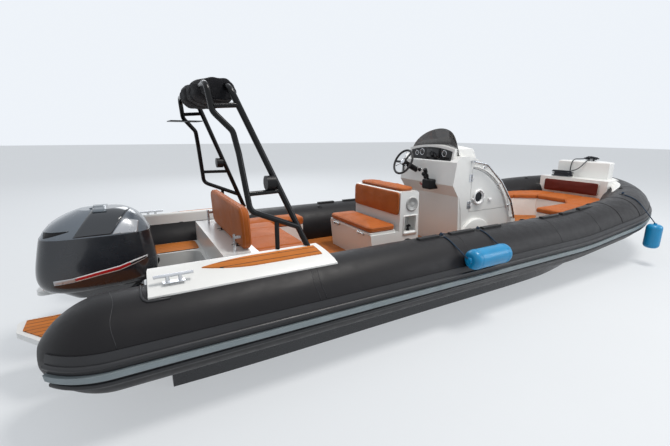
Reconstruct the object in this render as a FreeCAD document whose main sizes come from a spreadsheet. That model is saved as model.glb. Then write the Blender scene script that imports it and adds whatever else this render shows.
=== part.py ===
import FreeCAD, Part
import math
import os
from types import SimpleNamespace
from FreeCAD import Placement, Rotation, Vector

# Rigid inflatable boat with an outboard motor. Millimetres.
# +X is forward, +Y is port and +Z is up. The origin lies on the centreline,
# at the transom's aft face, at the height of the water.

doc = FreeCAD.newDocument("InflatableBoat")

# Driving dimensions: alias and value
SIZES = [
    # Inflatable tube: section, straight run, sheer bend and bow curves
    ("tube_radius", 306),
    ("tube_spread", 1040),
    ("tube_rise", 514),
    ("tube_taper_start", -300),
    ("tube_stern_end", -680),
    ("tube_end_radius", 80),
    ("sheer_start", 4360),
    ("sheer_radius", 6000),
    ("sheer_angle", 5.1),
    ("sheer_run", 810),
    ("shoulder_radius", 2075),
    ("shoulder_angle", 49),
    # Clearance of the mouldings from the tube's skin, and of one piece from the next
    ("seat_gap", 0.3),
    ("moving_gap", 5),
    ("running_gap", 0.05),
    # Hatch hinges: knuckles, pin, and the reach of the axis from the lid's edge
    ("knuckle_radius", 7),
    ("hinge_pin_radius", 3.5),
    ("hinge_reach", 9),
    ("hinge_length", 120),
    # Rubbing band on the tube
    ("band_thickness", 8),
    ("band_top_angle", 16),
    ("band_bottom_angle", -28),
    ("strake_radius", 17),
    ("strake_upper_angle", 2.8),
    ("strake_lower_angle", -20.6),
    ("strip_angle", -8.6),
    ("strip_width", 46),
    ("strip_depth", 28),
    ("strake_wrap_angle", 50),
    # Rigid hull
    ("hull_top", 360),
    ("keel_depth", 400),
    ("bow_block_start", 6600),
    ("transom_thickness", 60),
    ("transom_notch_top", 300),
    ("well_floor", 230),
    ("well_width", 720),
    ("well_length", 440),
    # Deck and aft mouldings
    ("deck_thickness", 40),
    ("aft_deck_top", 600),
    ("aft_deck_length", 480),
    ("inner_gap", 3),
    ("platform_top", 440),
    ("platform_thickness", 40),
    ("platform_reach", 930),
    ("platform_inner", 280),
    ("pad_thickness", 8),
    ("saddle_start", -130),
    ("saddle_length", 1376),
    ("saddle_inboard", 140),
    ("saddle_outboard", 128),
    ("saddle_top", 905),
    ("saddle_edge", 12),
    # Aft bench
    ("bench_gap", 11),
    ("shelf_top", 820),
    ("shelf_depth", 290),
    ("bench_front", 1270),
    ("bench_rim", 690),
    ("lid_side_gap", 16),
    ("locker_wall", 40),
    ("lid_thickness", 25),
    ("cushion_thickness", 90),
    ("backrest_side", 111),
    ("backrest_bottom", 825),
    ("backrest_top", 1190),
    ("backrest_thickness", 105),
    ("post_height", 150),
    ("side_seat_length", 430),
    ("side_seat_depth", 235),
    # Helm unit: upright with a bench that faces aft
    ("helm_aft", 2440),
    ("helm_front", 2700),
    ("helm_top", 1170),
    ("helm_width", 900),
    ("helm_bench_aft", 2060),
    ("helm_rim", 725),
    # Console
    ("console_width", 960),
    ("console_wall", 25),
    ("console_aft_foot", 3350),
    ("console_front", 4450),
    ("console_top", 1530),
    ("hood_top", 1655),
    ("hood_width", 780),
    ("hood_drop", 45),
    ("dash_margin", 28),
    ("dash_bottom", 1470),
    ("dash_depth", 25),
    ("door_bottom", 850),
    ("door_aft", 3500),
    ("door_front", 4190),
    ("door_top", 1395),
    ("door_gap", 5),
    ("porthole_radius", 70),
    ("rail_radius", 14),
    # Steering wheel
    ("wheel_x", 2990),
    ("wheel_y", 200),
    ("wheel_z", 1435),
    ("wheel_radius", 172),
    ("wheel_rim_radius", 14),
    ("wheel_tilt", 25),
    ("column_radius", 35),
    # Bow mouldings and cushions
    ("bow_seat_aft", 4940),
    ("bow_seat_rim", 700),
    ("bow_seat_inner", 460),
    ("bow_cross_aft", 6050),
    ("bow_step_top", 1050),
    ("bow_step_depth", 270),
    ("bow_step_width", 1120),
    ("step_margin", 140),
    ("box_margin", 110),
    ("flange_thickness", 14),
    ("bow_box_top", 1330),
    ("bow_box_front", 7300),
    ("bow_box_width", 840),
    # Roll bar
    ("bar_radius", 24),
    ("bar_bend", 90),
    # Outboard motor: transom bracket, swivel, leg and propeller
    ("tilt_axis_x", -60),
    ("tilt_axis_z", 290),
    ("steer_axis_x", -200),
    ("bracket_spread", 105),
    ("plate_height", -365),
    ("gearcase_height", -575),
    ("gearcase_radius", 62),
    ("propeller_radius", 180),
    ("pivot_radius", 22),
    ("steer_radius", 34),
    ("cowl_bottom", 560),
    ("cowl_crease", 1000),
    ("cowl_top", 1185),
    # Fenders
    ("fender_radius", 92),
    ("fender_length", 500),
    ("line_radius", 6),
    ("rope_radius", 8),
    ("coil_depth", 244),
    ("coil_width", 414),
    ("coil_height", 136),
    # Eyes for shackles
    ("eye_hole_radius", 14),
    ("eye_radius", 34),
    ("eye_thickness", 14),
]

sheet = doc.addObject("Spreadsheet::Sheet", "Sizes")
for row, (alias, value) in enumerate(SIZES, start=1):
    sheet.set("A%d" % row, alias)
    sheet.set("B%d" % row, str(value))
    sheet.setAlias("B%d" % row, alias)
doc.recompute()
size = SimpleNamespace(**{alias: float(sheet.get(alias)) for alias, value in SIZES})

X_AXIS = Vector(1, 0, 0)
Y_AXIS = Vector(0, 1, 0)
Z_AXIS = Vector(0, 0, 1)
subparts = []


# Helpers for shapes

def arc(start, middle, end):
    """An arc through three points."""
    return Part.Arc(start, middle, end).toShape()


def outline_wire(points, lift):
    """A closed wire. Each point is a pair; a pair of pairs is an arc's middle and end."""
    edges = []
    first = lift(*points[0])
    last = first
    for point in list(points[1:]) + [points[0]]:
        if isinstance(point[0], tuple):
            middle = lift(*point[0])
            end = lift(*point[1])
            edges.append(arc(last, middle, end))
        else:
            end = lift(*point)
            if end.distanceToPoint(last) > 1e-6:
                edges.append(Part.LineSegment(last, end).toShape())
        last = end
    return Part.Wire(edges)


def side_profile(points, y=0):
    """A face in the XZ plane."""
    return Part.Face(outline_wire(points, lambda x, z: Vector(x, y, z)))


def plan_profile(points, z=0):
    """A face in the XY plane."""
    return Part.Face(outline_wire(points, lambda x, y: Vector(x, y, z)))


def section_profile(points, x=0):
    """A face in the YZ plane."""
    return Part.Face(outline_wire(points, lambda y, z: Vector(x, y, z)))


def block(x, y, z):
    """A box between the low and high ends of three ranges."""
    lengths = (x[1] - x[0], y[1] - y[0], z[1] - z[0])
    return Part.makeBox(*lengths, Vector(x[0], y[0], z[0]))


def mirrored(shape):
    """The same shape on the other side of the centreline."""
    return shape.mirror(Vector(0, 0, 0), Y_AXIS)


def both_sides(shape):
    """A shape and its mirror image, as separate solids."""
    return Part.makeCompound([shape, mirrored(shape)])


def fused(shapes):
    """One shape from pieces that meet."""
    result = shapes[0].fuse(shapes[1:]) if len(shapes) > 1 else shapes[0]
    return result.removeSplitter()


def rounded_rectangle(x, y, radius):
    """Corner points and arcs of a rectangle with round corners."""
    bulge = radius * (1 - math.sqrt(0.5))
    return [
        (x[0] + radius, y[0]),
        (x[1] - radius, y[0]),
        ((x[1] - bulge, y[0] + bulge), (x[1], y[0] + radius)),
        (x[1], y[1] - radius),
        ((x[1] - bulge, y[1] - bulge), (x[1] - radius, y[1])),
        (x[0] + radius, y[1]),
        ((x[0] + bulge, y[1] - bulge), (x[0], y[1] - radius)),
        (x[0], y[0] + radius),
        ((x[0] + bulge, y[0] + bulge), (x[0] + radius, y[0])),
    ]


def rounded_path(points, radius):
    """A wire of straight runs joined by tangent arcs of one radius."""
    points = [Vector(*point) for point in points]
    edges = []
    last = points[0]
    for before, corner, after in zip(points, points[1:], points[2:]):
        inward = (before - corner).normalize()
        onward = (after - corner).normalize()
        half_turn = (math.pi - inward.getAngle(onward)) / 2
        reach = radius * math.tan(half_turn)
        start = corner + inward * reach
        end = corner + onward * reach
        bisector = (inward + onward).normalize()
        middle = corner + bisector * (radius / math.cos(half_turn) - radius)
        edges.append(Part.LineSegment(last, start).toShape())
        edges.append(arc(start, middle, end))
        last = end
    edges.append(Part.LineSegment(last, points[-1]).toShape())
    return Part.Wire(edges)


def pipe(path, radius):
    """A round bar along a wire."""
    edge = path.OrderedEdges[0]
    start = edge.valueAt(edge.FirstParameter)
    direction = edge.tangentAt(edge.FirstParameter)
    section = Part.Wire(Part.makeCircle(radius, start, direction))
    return path.makePipeShell([section], True, True)


def feature(label, shape):
    """A sub-part whose shape comes from the geometry functions."""
    item = doc.addObject("Part::Feature", label)
    item.Label = label
    item.Shape = shape
    item.Placement = shape.Placement
    subparts.append(item)
    return item


# Helpers for bodies with sketches

def new_body(label):
    """A body for one sub-part."""
    body = doc.addObject("PartDesign::Body", label)
    body.Label = label
    subparts.append(body)
    return body


def sketch(body, plane, points, offset=None):
    """A closed sketch on one of the body's origin planes, from points and arcs."""
    item = body.newObject("Sketcher::SketchObject", body.Name + "_sketch")
    support = [part for part in body.Origin.OriginFeatures if part.Role == plane][0]
    item.AttachmentSupport = [(support, "")]
    item.MapMode = "FlatFace"
    if offset:
        item.setExpression("AttachmentOffset.Base.z", offset)
    wire = outline_wire(points, lambda a, b: Vector(a, b, 0))
    for edge in wire.OrderedEdges:
        if isinstance(edge.Curve, Part.Line):
            ends = [vertex.Point for vertex in edge.Vertexes]
            item.addGeometry(Part.LineSegment(ends[0], ends[1]), False)
        else:
            middle = edge.valueAt((edge.FirstParameter + edge.LastParameter) / 2)
            start = edge.valueAt(edge.FirstParameter)
            end = edge.valueAt(edge.LastParameter)
            item.addGeometry(Part.Arc(start, middle, end), False)
    return item


def pad(body, profile, length, side="One side", reverse=False):
    """A pad whose length is bound to an expression."""
    item = body.newObject("PartDesign::Pad", body.Name + "_pad")
    item.Profile = profile
    item.SideType = side
    item.Reversed = reverse
    item.setExpression("Length", length)
    body.Tip = item
    return item


def pocket(body, profile, length, side="One side", reverse=False):
    """A pocket whose depth is bound to an expression."""
    item = body.newObject("PartDesign::Pocket", body.Name + "_pocket")
    item.Profile = profile
    item.SideType = side
    item.Reversed = reverse
    item.setExpression("Length", length)
    body.Tip = item
    return item


def is_along(edge, direction):
    """True for a straight edge that runs along a direction."""
    if not isinstance(edge.Curve, Part.Line):
        return False
    return abs(abs(edge.tangentAt(edge.FirstParameter).dot(direction)) - 1) < 1e-6


# Tube: the section is carried along straight runs and arcs, then mirrored

def to_section(out, up):
    """A point in the starboard tube's section, measured from the tube's axis."""
    return (-(size.tube_spread + out), size.tube_rise + up)


def swept_along_tube(face, start):
    """The solid that a section face makes from its place to the middle of the bow."""
    slope = math.radians(size.sheer_angle)
    forward = Vector(math.cos(slope), 0, math.sin(slope))
    normal = Vector(-math.sin(slope), 0, math.cos(slope))
    point = Vector(size.sheer_start, -size.tube_spread, size.tube_rise)
    solids = [face.extrude(Vector(size.sheer_start - start, 0, 0))]
    face = face.translated(Vector(size.sheer_start - start, 0, 0))
    pivot = point + Z_AXIS * size.sheer_radius
    solids.append(face.revolve(pivot, -Y_AXIS, size.sheer_angle))
    face = face.rotated(pivot, -Y_AXIS, size.sheer_angle)
    point = pivot + (Rotation(-Y_AXIS, size.sheer_angle)).multVec(point - pivot)
    solids.append(face.extrude(forward * size.sheer_run))
    face = face.translated(forward * size.sheer_run)
    point = point + forward * size.sheer_run
    pivot = point + Y_AXIS * size.shoulder_radius
    solids.append(face.revolve(pivot, normal, size.shoulder_angle))
    face = face.rotated(pivot, normal, size.shoulder_angle)
    turn = Rotation(normal, size.shoulder_angle)
    point = pivot + turn.multVec(point - pivot)
    inboard = turn.multVec(Y_AXIS)
    nose_radius = -point.y / math.cos(math.radians(size.shoulder_angle))
    solids.append(face.revolve(point + inboard * nose_radius, normal, 90 - size.shoulder_angle))
    return solids


def stern_dome_centre():
    """Middle of the arc that tapers the tube's stern end, inboard of the skin."""
    length = size.tube_taper_start - size.tube_stern_end
    drop = size.tube_radius - size.tube_end_radius
    radius = (length ** 2 + drop ** 2) / (2 * drop)
    return radius, math.degrees(math.asin(length / radius))


def tube_solid(extra):
    """Both tubes and the bow in one solid, with the skin moved out by extra."""
    radius = size.tube_radius + extra
    axis_point = Vector(size.tube_taper_start, -size.tube_spread, size.tube_rise)
    face = Part.Face(Part.Wire(Part.makeCircle(radius, axis_point, X_AXIS)))
    solids = swept_along_tube(face, size.tube_taper_start)
    dome_radius, dome_angle = stern_dome_centre()
    half = math.radians(dome_angle / 2)
    centre = Vector(size.tube_taper_start, 0, size.tube_radius - dome_radius)
    rim = dome_radius + extra
    top = Vector(size.tube_taper_start, 0, radius)
    middle = centre + Vector(-math.sin(half), 0, math.cos(half)) * rim
    end = centre + Vector(-math.sin(2 * half), 0, math.cos(2 * half)) * rim
    edges = [
        Part.LineSegment(Vector(top.x, 0, 0), top).toShape(),
        arc(top, middle, end),
        Part.LineSegment(end, Vector(end.x, 0, 0)).toShape(),
        Part.LineSegment(Vector(end.x, 0, 0), Vector(top.x, 0, 0)).toShape(),
    ]
    dome = Part.Face(Part.Wire(edges)).revolve(Vector(0, 0, 0), X_AXIS, 360)
    dome.translate(Vector(0, -size.tube_spread, size.tube_rise))
    half_tube = fused(solids + [dome])
    return fused([half_tube, mirrored(half_tube)])


tube = tube_solid(0)
tube_envelope = tube_solid(size.seat_gap)
feature("tubes", tube)


# Rubbing band, two round strakes and the flat strip between them

def ring_point(radius, angle):
    """A point in the tube's section, by its distance from the axis and its angle."""
    return to_section(radius * math.cos(math.radians(angle)),
                      radius * math.sin(math.radians(angle)))


def swept_band(points):
    """A band along the tube that wraps a little way round its stern end."""
    start = size.tube_taper_start
    face = section_profile(points, start)
    dome_radius, dome_angle = stern_dome_centre()
    pivot_y = -(size.tube_spread + size.tube_radius - dome_radius)
    pivot = Vector(start, pivot_y, 0)
    solids = swept_along_tube(face, start)
    solids.append(face.revolve(pivot, -Z_AXIS, size.strake_wrap_angle))
    half_band = fused(solids)
    whole = fused([half_band, mirrored(half_band)])
    return whole.cut(tube_envelope)


def round_strake(angle):
    """Profile of a half-round strake that stands on the band."""
    root = size.tube_radius - 40
    crown = size.tube_radius + size.band_thickness
    spread = math.degrees(size.strake_radius / crown)
    return [
        ring_point(root, angle - spread),
        ring_point(crown, angle - spread),
        (ring_point(crown + size.strake_radius, angle), ring_point(crown, angle + spread)),
        ring_point(root, angle + spread),
    ]


inner_ring = size.tube_radius - 40
outer_ring = size.tube_radius + size.band_thickness
band_middle = (size.band_top_angle + size.band_bottom_angle) / 2
strip_half = math.degrees(size.strip_width / 2 / outer_ring)
band_points = [
    ring_point(inner_ring, size.band_bottom_angle),
    ring_point(outer_ring, size.band_bottom_angle),
    (ring_point(outer_ring, band_middle), ring_point(outer_ring, size.band_top_angle)),
    ring_point(inner_ring, size.band_top_angle),
]
strip_points = [
    ring_point(inner_ring, size.strip_angle - strip_half),
    ring_point(size.tube_radius + size.strip_depth, size.strip_angle - 0.85 * strip_half),
    ring_point(size.tube_radius + size.strip_depth, size.strip_angle + 0.85 * strip_half),
    ring_point(inner_ring, size.strip_angle + strip_half),
]
strip_solid = swept_band(strip_points)
band_solid = fused([
    swept_band(band_points),
    swept_band(round_strake(size.strake_upper_angle)),
    swept_band(round_strake(size.strake_lower_angle)),
])
feature("rub_strip", strip_solid)
feature("rub_band", band_solid.cut(strip_solid))


# Hull: a deep vee with hard chines, cut to the tube above it

HULL_SECTIONS = [
    # x, keel z, chine as a share of the tubes' spread, chine z, sheer share, sheer z, top z
    (0, -size.keel_depth, 0.865, -40, 0.952, 250, 560),
    (2400, -size.keel_depth, 0.865, -40, 0.952, 250, 560),
    (4400, -size.keel_depth + 5, 0.846, -10, 0.947, 260, 560),
    (5600, -290, 0.712, 110, 0.894, 340, 600),
    (6500, -60, 0.462, 300, 0.712, 450, 680),
    (7050, 190, 0.24, 440, 0.462, 560, 720),
    (7340, 460, 0.058, 560, 0.125, 620, 740),
]


def hull_section(x, keel, chine_share, chine_z, sheer_share, sheer_z, top):
    """Closed section wire of the hull at one station."""
    chine_y = chine_share * size.tube_spread
    sheer_y = sheer_share * size.tube_spread
    flat = chine_y / 15
    half = [(chine_y, chine_z), (chine_y + flat, chine_z + 8), (sheer_y, sheer_z), (sheer_y, top)]
    points = [(0, keel)] + half + [(-y, z) for y, z in reversed(half)]
    return outline_wire(points, lambda y, z: Vector(x, y, z))


hull_blank = Part.makeLoft([hull_section(*row) for row in HULL_SECTIONS], True, False)
cockpit = block((-100, size.bow_block_start), (-1500, 1500), (size.hull_top, 1500))
well = block((size.transom_thickness, size.well_length),
             (-size.well_width / 2, size.well_width / 2),
             (size.well_floor, size.hull_top + 1))
notch = block((-1, size.transom_thickness + 1),
              (-size.well_width / 2, size.well_width / 2),
              (size.transom_notch_top, size.hull_top + 1))
hull_solid = hull_blank.cut([cockpit, well, notch, tube_envelope])
hull_solid = max(hull_solid.Solids, key=lambda solid: solid.Volume)
feature("hull", hull_solid)

# Deck sole
deck_top = size.hull_top + size.deck_thickness
half_deck = size.tube_spread - 240
DECK_PLAN = [(size.aft_deck_length, half_deck), (5500, half_deck),
             (size.bow_block_start, half_deck - 240)]
deck_plan = DECK_PLAN + [(x, -y) for x, y in reversed(DECK_PLAN)]
deck = plan_profile(deck_plan, size.hull_top).extrude(Vector(0, 0, size.deck_thickness))
deck_cut = deck.cut(tube_envelope)
feature("deck", max(deck_cut.Solids, key=lambda solid: solid.Volume))

# Aft deck round the motor well
aft_deck = new_body("aft_deck")
half_inner = size.tube_spread - size.tube_radius - size.inner_gap
half_well = size.well_width / 2
pad(aft_deck, sketch(aft_deck, "XY_Plane", [
    (0, -half_inner),
    (size.aft_deck_length, -half_inner),
    (size.aft_deck_length, half_inner),
    (0, half_inner),
    (0, half_well),
    (size.well_length - 120, half_well),
    ((size.well_length - 35, half_well - 35), (size.well_length, half_well - 120)),
    (size.well_length, -half_well + 120),
    ((size.well_length - 35, -half_well + 35), (size.well_length - 120, -half_well)),
    (0, -half_well),
], "Sizes.hull_top"), "Sizes.aft_deck_top - Sizes.hull_top")

# Teak pads on the aft deck
PAD_MARGIN = 30


teak_pads = []


def teak_pad(corners, top):
    """A thin pad that lies on a moulding to port."""
    face = plan_profile(corners, top)
    teak_pads.append(face.extrude(Vector(0, 0, size.pad_thickness)))


teak_pad(rounded_rectangle((PAD_MARGIN, size.aft_deck_length - PAD_MARGIN),
                           (half_well + PAD_MARGIN, half_inner - PAD_MARGIN), 40),
         size.aft_deck_top)

# Swim platforms beside the motor
PLATFORM_CORNERS = [
    (0, size.platform_inner),
    (-size.platform_reach + 60, size.platform_inner),
    ((-size.platform_reach + 18, size.platform_inner + 18),
     (-size.platform_reach, size.platform_inner + 60)),
    (-size.platform_reach + 20, size.platform_inner + 200),
    (-size.platform_reach + 210, half_inner - 10),
    (0, half_inner - 10),
]
platform_bottom = size.platform_top - size.platform_thickness
platform = plan_profile(PLATFORM_CORNERS, platform_bottom)
feature("swim_platforms", both_sides(platform.extrude(Vector(0, 0, size.platform_thickness))))
PLATFORM_PAD = [
    (-PAD_MARGIN, size.platform_inner + PAD_MARGIN),
    (-size.platform_reach + 50, size.platform_inner + PAD_MARGIN),
    (-size.platform_reach + 55, size.platform_inner + 190),
    (-size.platform_reach + 230, half_inner - 10 - PAD_MARGIN),
    (-PAD_MARGIN, half_inner - 10 - PAD_MARGIN),
]
teak_pad(PLATFORM_PAD, size.platform_top)


# Saddle mouldings that straddle the tubes beside the bench

def saddle():
    """The port saddle: thin where it lies on the tube, deep at its inner edge."""
    start = size.saddle_start
    end = start + size.saddle_length
    inner = size.tube_spread - size.saddle_inboard
    outer = size.tube_spread + size.saddle_outboard
    skin = size.tube_rise + math.sqrt(size.tube_radius ** 2 - size.saddle_outboard ** 2)
    crown = size.tube_rise + size.tube_radius + 42
    section = section_profile([
        (inner, size.tube_rise),
        (inner, size.saddle_top - 25),
        ((inner + 6, size.saddle_top - 7), (inner + 25, size.saddle_top)),
        ((size.tube_spread + 20, crown), (outer, skin + size.saddle_edge)),
        (outer, size.tube_rise),
    ], start)
    bar = section.extrude(Vector(size.saddle_length, 0, 0))
    plan = plan_profile([
        (start + 60, inner - 1),
        (end - 80, inner - 1),
        (end, outer + 1),
        (start, outer + 1),
    ], size.tube_rise).extrude(Vector(0, 0, size.tube_radius + size.saddle_top))
    side = side_profile([
        (start, size.tube_rise),
        (start + 50, size.saddle_top + 10),
        (end - 35, size.saddle_top + 10),
        (end, size.tube_rise + 270),
        (end, size.tube_rise),
    ], 0)
    return bar.common(side.extrude(Vector(0, 2 * outer, 0))).common(plan).cut(tube_envelope)


saddle_solid = max(saddle().Solids, key=lambda solid: solid.Volume)
feature("saddles", both_sides(saddle_solid))
PAD_OUTLINE = [
    # x from the saddle's aft end, y from the tube's axis
    (385, -30),
    ((560, -62), (790, -78)),
    (1260, -78),
    (1285, 30),
    (790, 30),
    ((560, 12), (385, -30)),
]
pad_solid = plan_profile([
    tuple((size.saddle_start + x, size.tube_spread + y) for x, y in point)
    if isinstance(point[0], tuple)
    else (size.saddle_start + point[0], size.tube_spread + point[1])
    for point in PAD_OUTLINE
], size.tube_rise + size.tube_radius).extrude(Vector(0, 0, 150))
teak_pads.append(pad_solid.common(saddle_solid.translated(Vector(0, 0, size.pad_thickness)))
                 .cut(saddle_solid))
feature("teak_pads", both_sides(Part.makeCompound(teak_pads)))

# Bench: shelf behind the backrest and a seat locker that opens at its top
bench = new_body("bench")
shelf_front = size.aft_deck_length + size.shelf_depth
pad(bench, sketch(bench, "XZ_Plane", [
    (size.aft_deck_length, deck_top),
    (size.aft_deck_length, size.shelf_top),
    (shelf_front, size.shelf_top),
    (shelf_front, size.bench_rim),
    (size.bench_front, size.bench_rim),
    (size.bench_front - 30, deck_top),
]), "2 * (Sizes.tube_spread - Sizes.tube_radius - Sizes.inner_gap - Sizes.bench_gap)",
    side="Symmetric")
side_inner = half_inner - size.side_seat_depth
half_lid = side_inner - size.lid_side_gap
locker_half = half_lid - size.locker_wall
pocket(bench, sketch(bench, "XY_Plane", rounded_rectangle(
    (shelf_front + 2 * size.locker_wall, size.bench_front - 2 * size.locker_wall),
    (-locker_half, locker_half), 30), "Sizes.bench_rim"),
    "Sizes.bench_rim - %s" % (deck_top + size.locker_wall))


def along_y(radius, x, z, low, high):
    """A cylinder across the boat."""
    return Part.makeCylinder(radius, high - low, Vector(x, low, z), Y_AXIS)


hatch_hinges = []


def hinged_lid(lid, edge_x, outward, rim, half_width, box):
    """Adds knuckles to a lid's edge, and to the box below it their pins and brackets."""
    axis_x = edge_x + outward * size.hinge_reach
    axis_z = rim + size.seat_gap
    half = size.hinge_length / 2
    middle = half / 2
    for place in (-half_width * 0.6, half_width * 0.6):
        span = (place - middle + 1, place + middle - 1)
        knuckle = along_y(size.knuckle_radius, axis_x, axis_z, *span)
        leaf = block(sorted((axis_x, edge_x - outward * 30)), span, (axis_z, axis_z + 6))
        bore = along_y(size.hinge_pin_radius + size.running_gap, axis_x, axis_z,
                       place - half, place + half)
        lid = lid.fuse([knuckle, leaf]).cut(bore)
        pieces = [along_y(size.hinge_pin_radius, axis_x, axis_z, place - half, place + half)]
        for low, high in ((-half, -middle), (middle, half)):
            ends = (place + low, place + high)
            pieces.append(along_y(size.knuckle_radius, axis_x, axis_z, *ends))
            pieces.append(block(sorted((axis_x, edge_x - outward * 40)), ends, (rim - 24, rim)))
        hatch_hinges.append(fused(pieces).cut(box))
    return lid.removeSplitter()


def lid_and_cushion(prefix, x, half_width, rim, cushion_margin, outward, box):
    """A locker lid that lies on its rim, hinged at one edge, and the cushion fixed on it."""
    lid_bottom = rim + size.seat_gap
    lid = plan_profile(rounded_rectangle(x, (-half_width, half_width), 25), lid_bottom)
    lid = lid.extrude(Vector(0, 0, size.lid_thickness))
    edge_x = x[1] if outward > 0 else x[0]
    feature(prefix + "_lid", hinged_lid(lid, edge_x, outward, rim, half_width, box))
    cushion_bottom = lid_bottom + size.lid_thickness + size.seat_gap
    inside = (x[0] + cushion_margin, x[1] - cushion_margin)
    width = half_width - cushion_margin
    cushion = plan_profile(rounded_rectangle(inside, (-width, width), 45), cushion_bottom)
    solid = cushion.extrude(Vector(0, 0, size.cushion_thickness))
    top_edges = [edge for edge in solid.Edges if edge.BoundBox.ZMin > cushion_bottom + 1]
    feature(prefix + "_cushion", solid.makeFillet(25, top_edges))


doc.recompute()
lid_and_cushion("bench", (shelf_front + size.moving_gap, size.bench_front),
                half_lid, size.bench_rim, 3, 1, bench.Shape)

# Backrest cushion and the two posts that carry it on the shelf
backrest_aft = size.aft_deck_length + 175
half_backrest = half_inner - size.backrest_side
backrest = side_profile([
    (backrest_aft, size.backrest_bottom),
    (backrest_aft - 15, size.backrest_top - 40),
    ((backrest_aft + 25, size.backrest_top), (backrest_aft + 65, size.backrest_top - 35)),
    (backrest_aft + size.backrest_thickness, size.backrest_bottom),
], -half_backrest).extrude(Vector(0, 2 * half_backrest, 0))
end_edges = [
    edge for edge in backrest.Edges
    if not is_along(edge, Y_AXIS) and edge.BoundBox.ZMax - edge.BoundBox.ZMin > 100
]
backrest_solid = backrest.makeFillet(28, end_edges)
feature("bench_backrest", backrest_solid)
post_foot = size.shelf_top + size.seat_gap
posts = []
for post_y in (60 - half_backrest, half_backrest - 60):
    upright = Part.makeCylinder(12, size.post_height, Vector(backrest_aft - 60, post_y, post_foot))
    arm = block((backrest_aft - 60, backrest_aft + 10), (post_y - 12, post_y + 12),
                (post_foot + size.post_height - 40, post_foot + size.post_height - 16))
    posts.append(fused([upright, arm]))
feature("backrest_posts", Part.makeCompound(posts).cut(backrest_solid))

# Port side seat, and the fixed cushions at both ends of the bench
side_seat_start = size.bench_front + 5
side_seat = new_body("side_seat")
pad(side_seat, sketch(side_seat, "XY_Plane", rounded_rectangle(
    (side_seat_start, side_seat_start + size.side_seat_length),
    (side_inner, half_inner), 25), "Sizes.hull_top + Sizes.deck_thickness"),
    "Sizes.bench_rim - Sizes.hull_top - Sizes.deck_thickness")


def end_cushion(length):
    """A cushion beside the lid, from the shelf forward."""
    outline = rounded_rectangle((shelf_front + 3, shelf_front + length),
                                (side_inner - 5, half_inner - 5), 40)
    base = size.bench_rim + size.seat_gap
    solid = plan_profile(outline, base).extrude(
        Vector(0, 0, size.cushion_thickness + size.lid_thickness))
    crown = [edge for edge in solid.Edges if edge.BoundBox.ZMin > base + 20]
    return solid.makeFillet(25, crown)


bench_depth = size.bench_front - shelf_front
long_cushion = end_cushion(side_seat_start + size.side_seat_length + 10 - shelf_front)
feature("end_cushions", Part.makeCompound([long_cushion, mirrored(end_cushion(bench_depth))]))

# Helm unit: upright box with a niche to starboard, and a seat locker open at its top
helm = new_body("helm_unit")
pad(helm, sketch(helm, "XZ_Plane", [
    (size.helm_bench_aft + 40, deck_top),
    (size.helm_bench_aft, size.helm_rim),
    (size.helm_aft, size.helm_rim),
    (size.helm_aft, size.helm_top - 20),
    ((size.helm_aft + 6, size.helm_top - 6), (size.helm_aft + 20, size.helm_top)),
    (size.helm_front - 40, size.helm_top),
    ((size.helm_front - 12, size.helm_top - 12), (size.helm_front, size.helm_top - 40)),
    (size.helm_front + 30, deck_top),
]), "Sizes.helm_width", side="Symmetric")
helm_locker = size.helm_width / 2 - 2 * size.locker_wall
pocket(helm, sketch(helm, "XY_Plane", rounded_rectangle(
    (size.helm_bench_aft + 90, size.helm_aft - 50),
    (-helm_locker, helm_locker), 30), "Sizes.helm_rim"),
    "Sizes.helm_rim - %s" % (deck_top + size.locker_wall))
pocket(helm, sketch(helm, "XZ_Plane", rounded_rectangle(
    (size.helm_aft + 65, size.helm_aft + 225), (715, 890), 12),
    "Sizes.helm_width / 2"), "120")
doc.recompute()
lid_and_cushion("helm", (size.helm_bench_aft - 10, size.helm_aft - 40),
                size.helm_width / 2 - 10, size.helm_rim, 6, -1, helm.Shape)
hatch_hinges = Part.makeCompound([max(hinge.Solids, key=lambda solid: solid.Volume)
                                  for hinge in hatch_hinges])
feature("hatch_hinges", hatch_hinges)
back_pad = block((size.helm_aft - 34 - size.seat_gap, size.helm_aft - size.seat_gap),
                 (-size.helm_width / 2 + 8, size.helm_width / 2 - 12),
                 (size.helm_top - 258, size.helm_top - 8))
feature("helm_back_pad", back_pad.makeFillet(15, back_pad.Edges))
bolster = block((size.helm_aft + 30, size.helm_front - 42),
                (-size.helm_width / 2 + 40, size.helm_width / 2 - 50),
                (size.helm_top + size.seat_gap, size.helm_top + 55))
long_edges = [edge for edge in bolster.Edges if edge.BoundBox.ZMin > size.helm_top + 50]
feature("helm_bolster", bolster.makeFillet(24, long_edges))

# Console: a hollow moulding with a doorway to starboard

def console_outline(inset):
    """The console's side outline, moved in by the wall."""
    return [
        (size.console_aft_foot + inset, deck_top),
        (3290 + inset, 1050 - inset / 2),
        (3190 + inset, 1190 - inset / 2),
        (3230 + inset, 1460),
        (3290 + inset / 2, size.console_top - inset),
        (3430, size.console_top - inset),
        ((4030 - 0.7 * inset, 1235 - 0.7 * inset), (size.console_front - inset, 600)),
        (size.console_front - inset, deck_top),
    ]


HOOD_AFT = 3248
HOOD_FRONT = 3640


def hood_outline(gap):
    """The hood's side outline, grown by a gap."""
    return [
        (HOOD_AFT - gap, 1445 - gap),
        (HOOD_AFT + 30 - gap, size.hood_top + 20),
        (HOOD_AFT + 230, size.hood_top + 20),
        ((HOOD_AFT + 330, size.hood_top - 45), (HOOD_FRONT + gap, 1490)),
        (HOOD_FRONT - 60, 1445 - gap),
    ]


def arch_points(half_width, foot, crown):
    """Three points of an arch across the boat, as a start and an arc."""
    return [(-half_width, foot), ((0, crown), (half_width, foot))]


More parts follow.
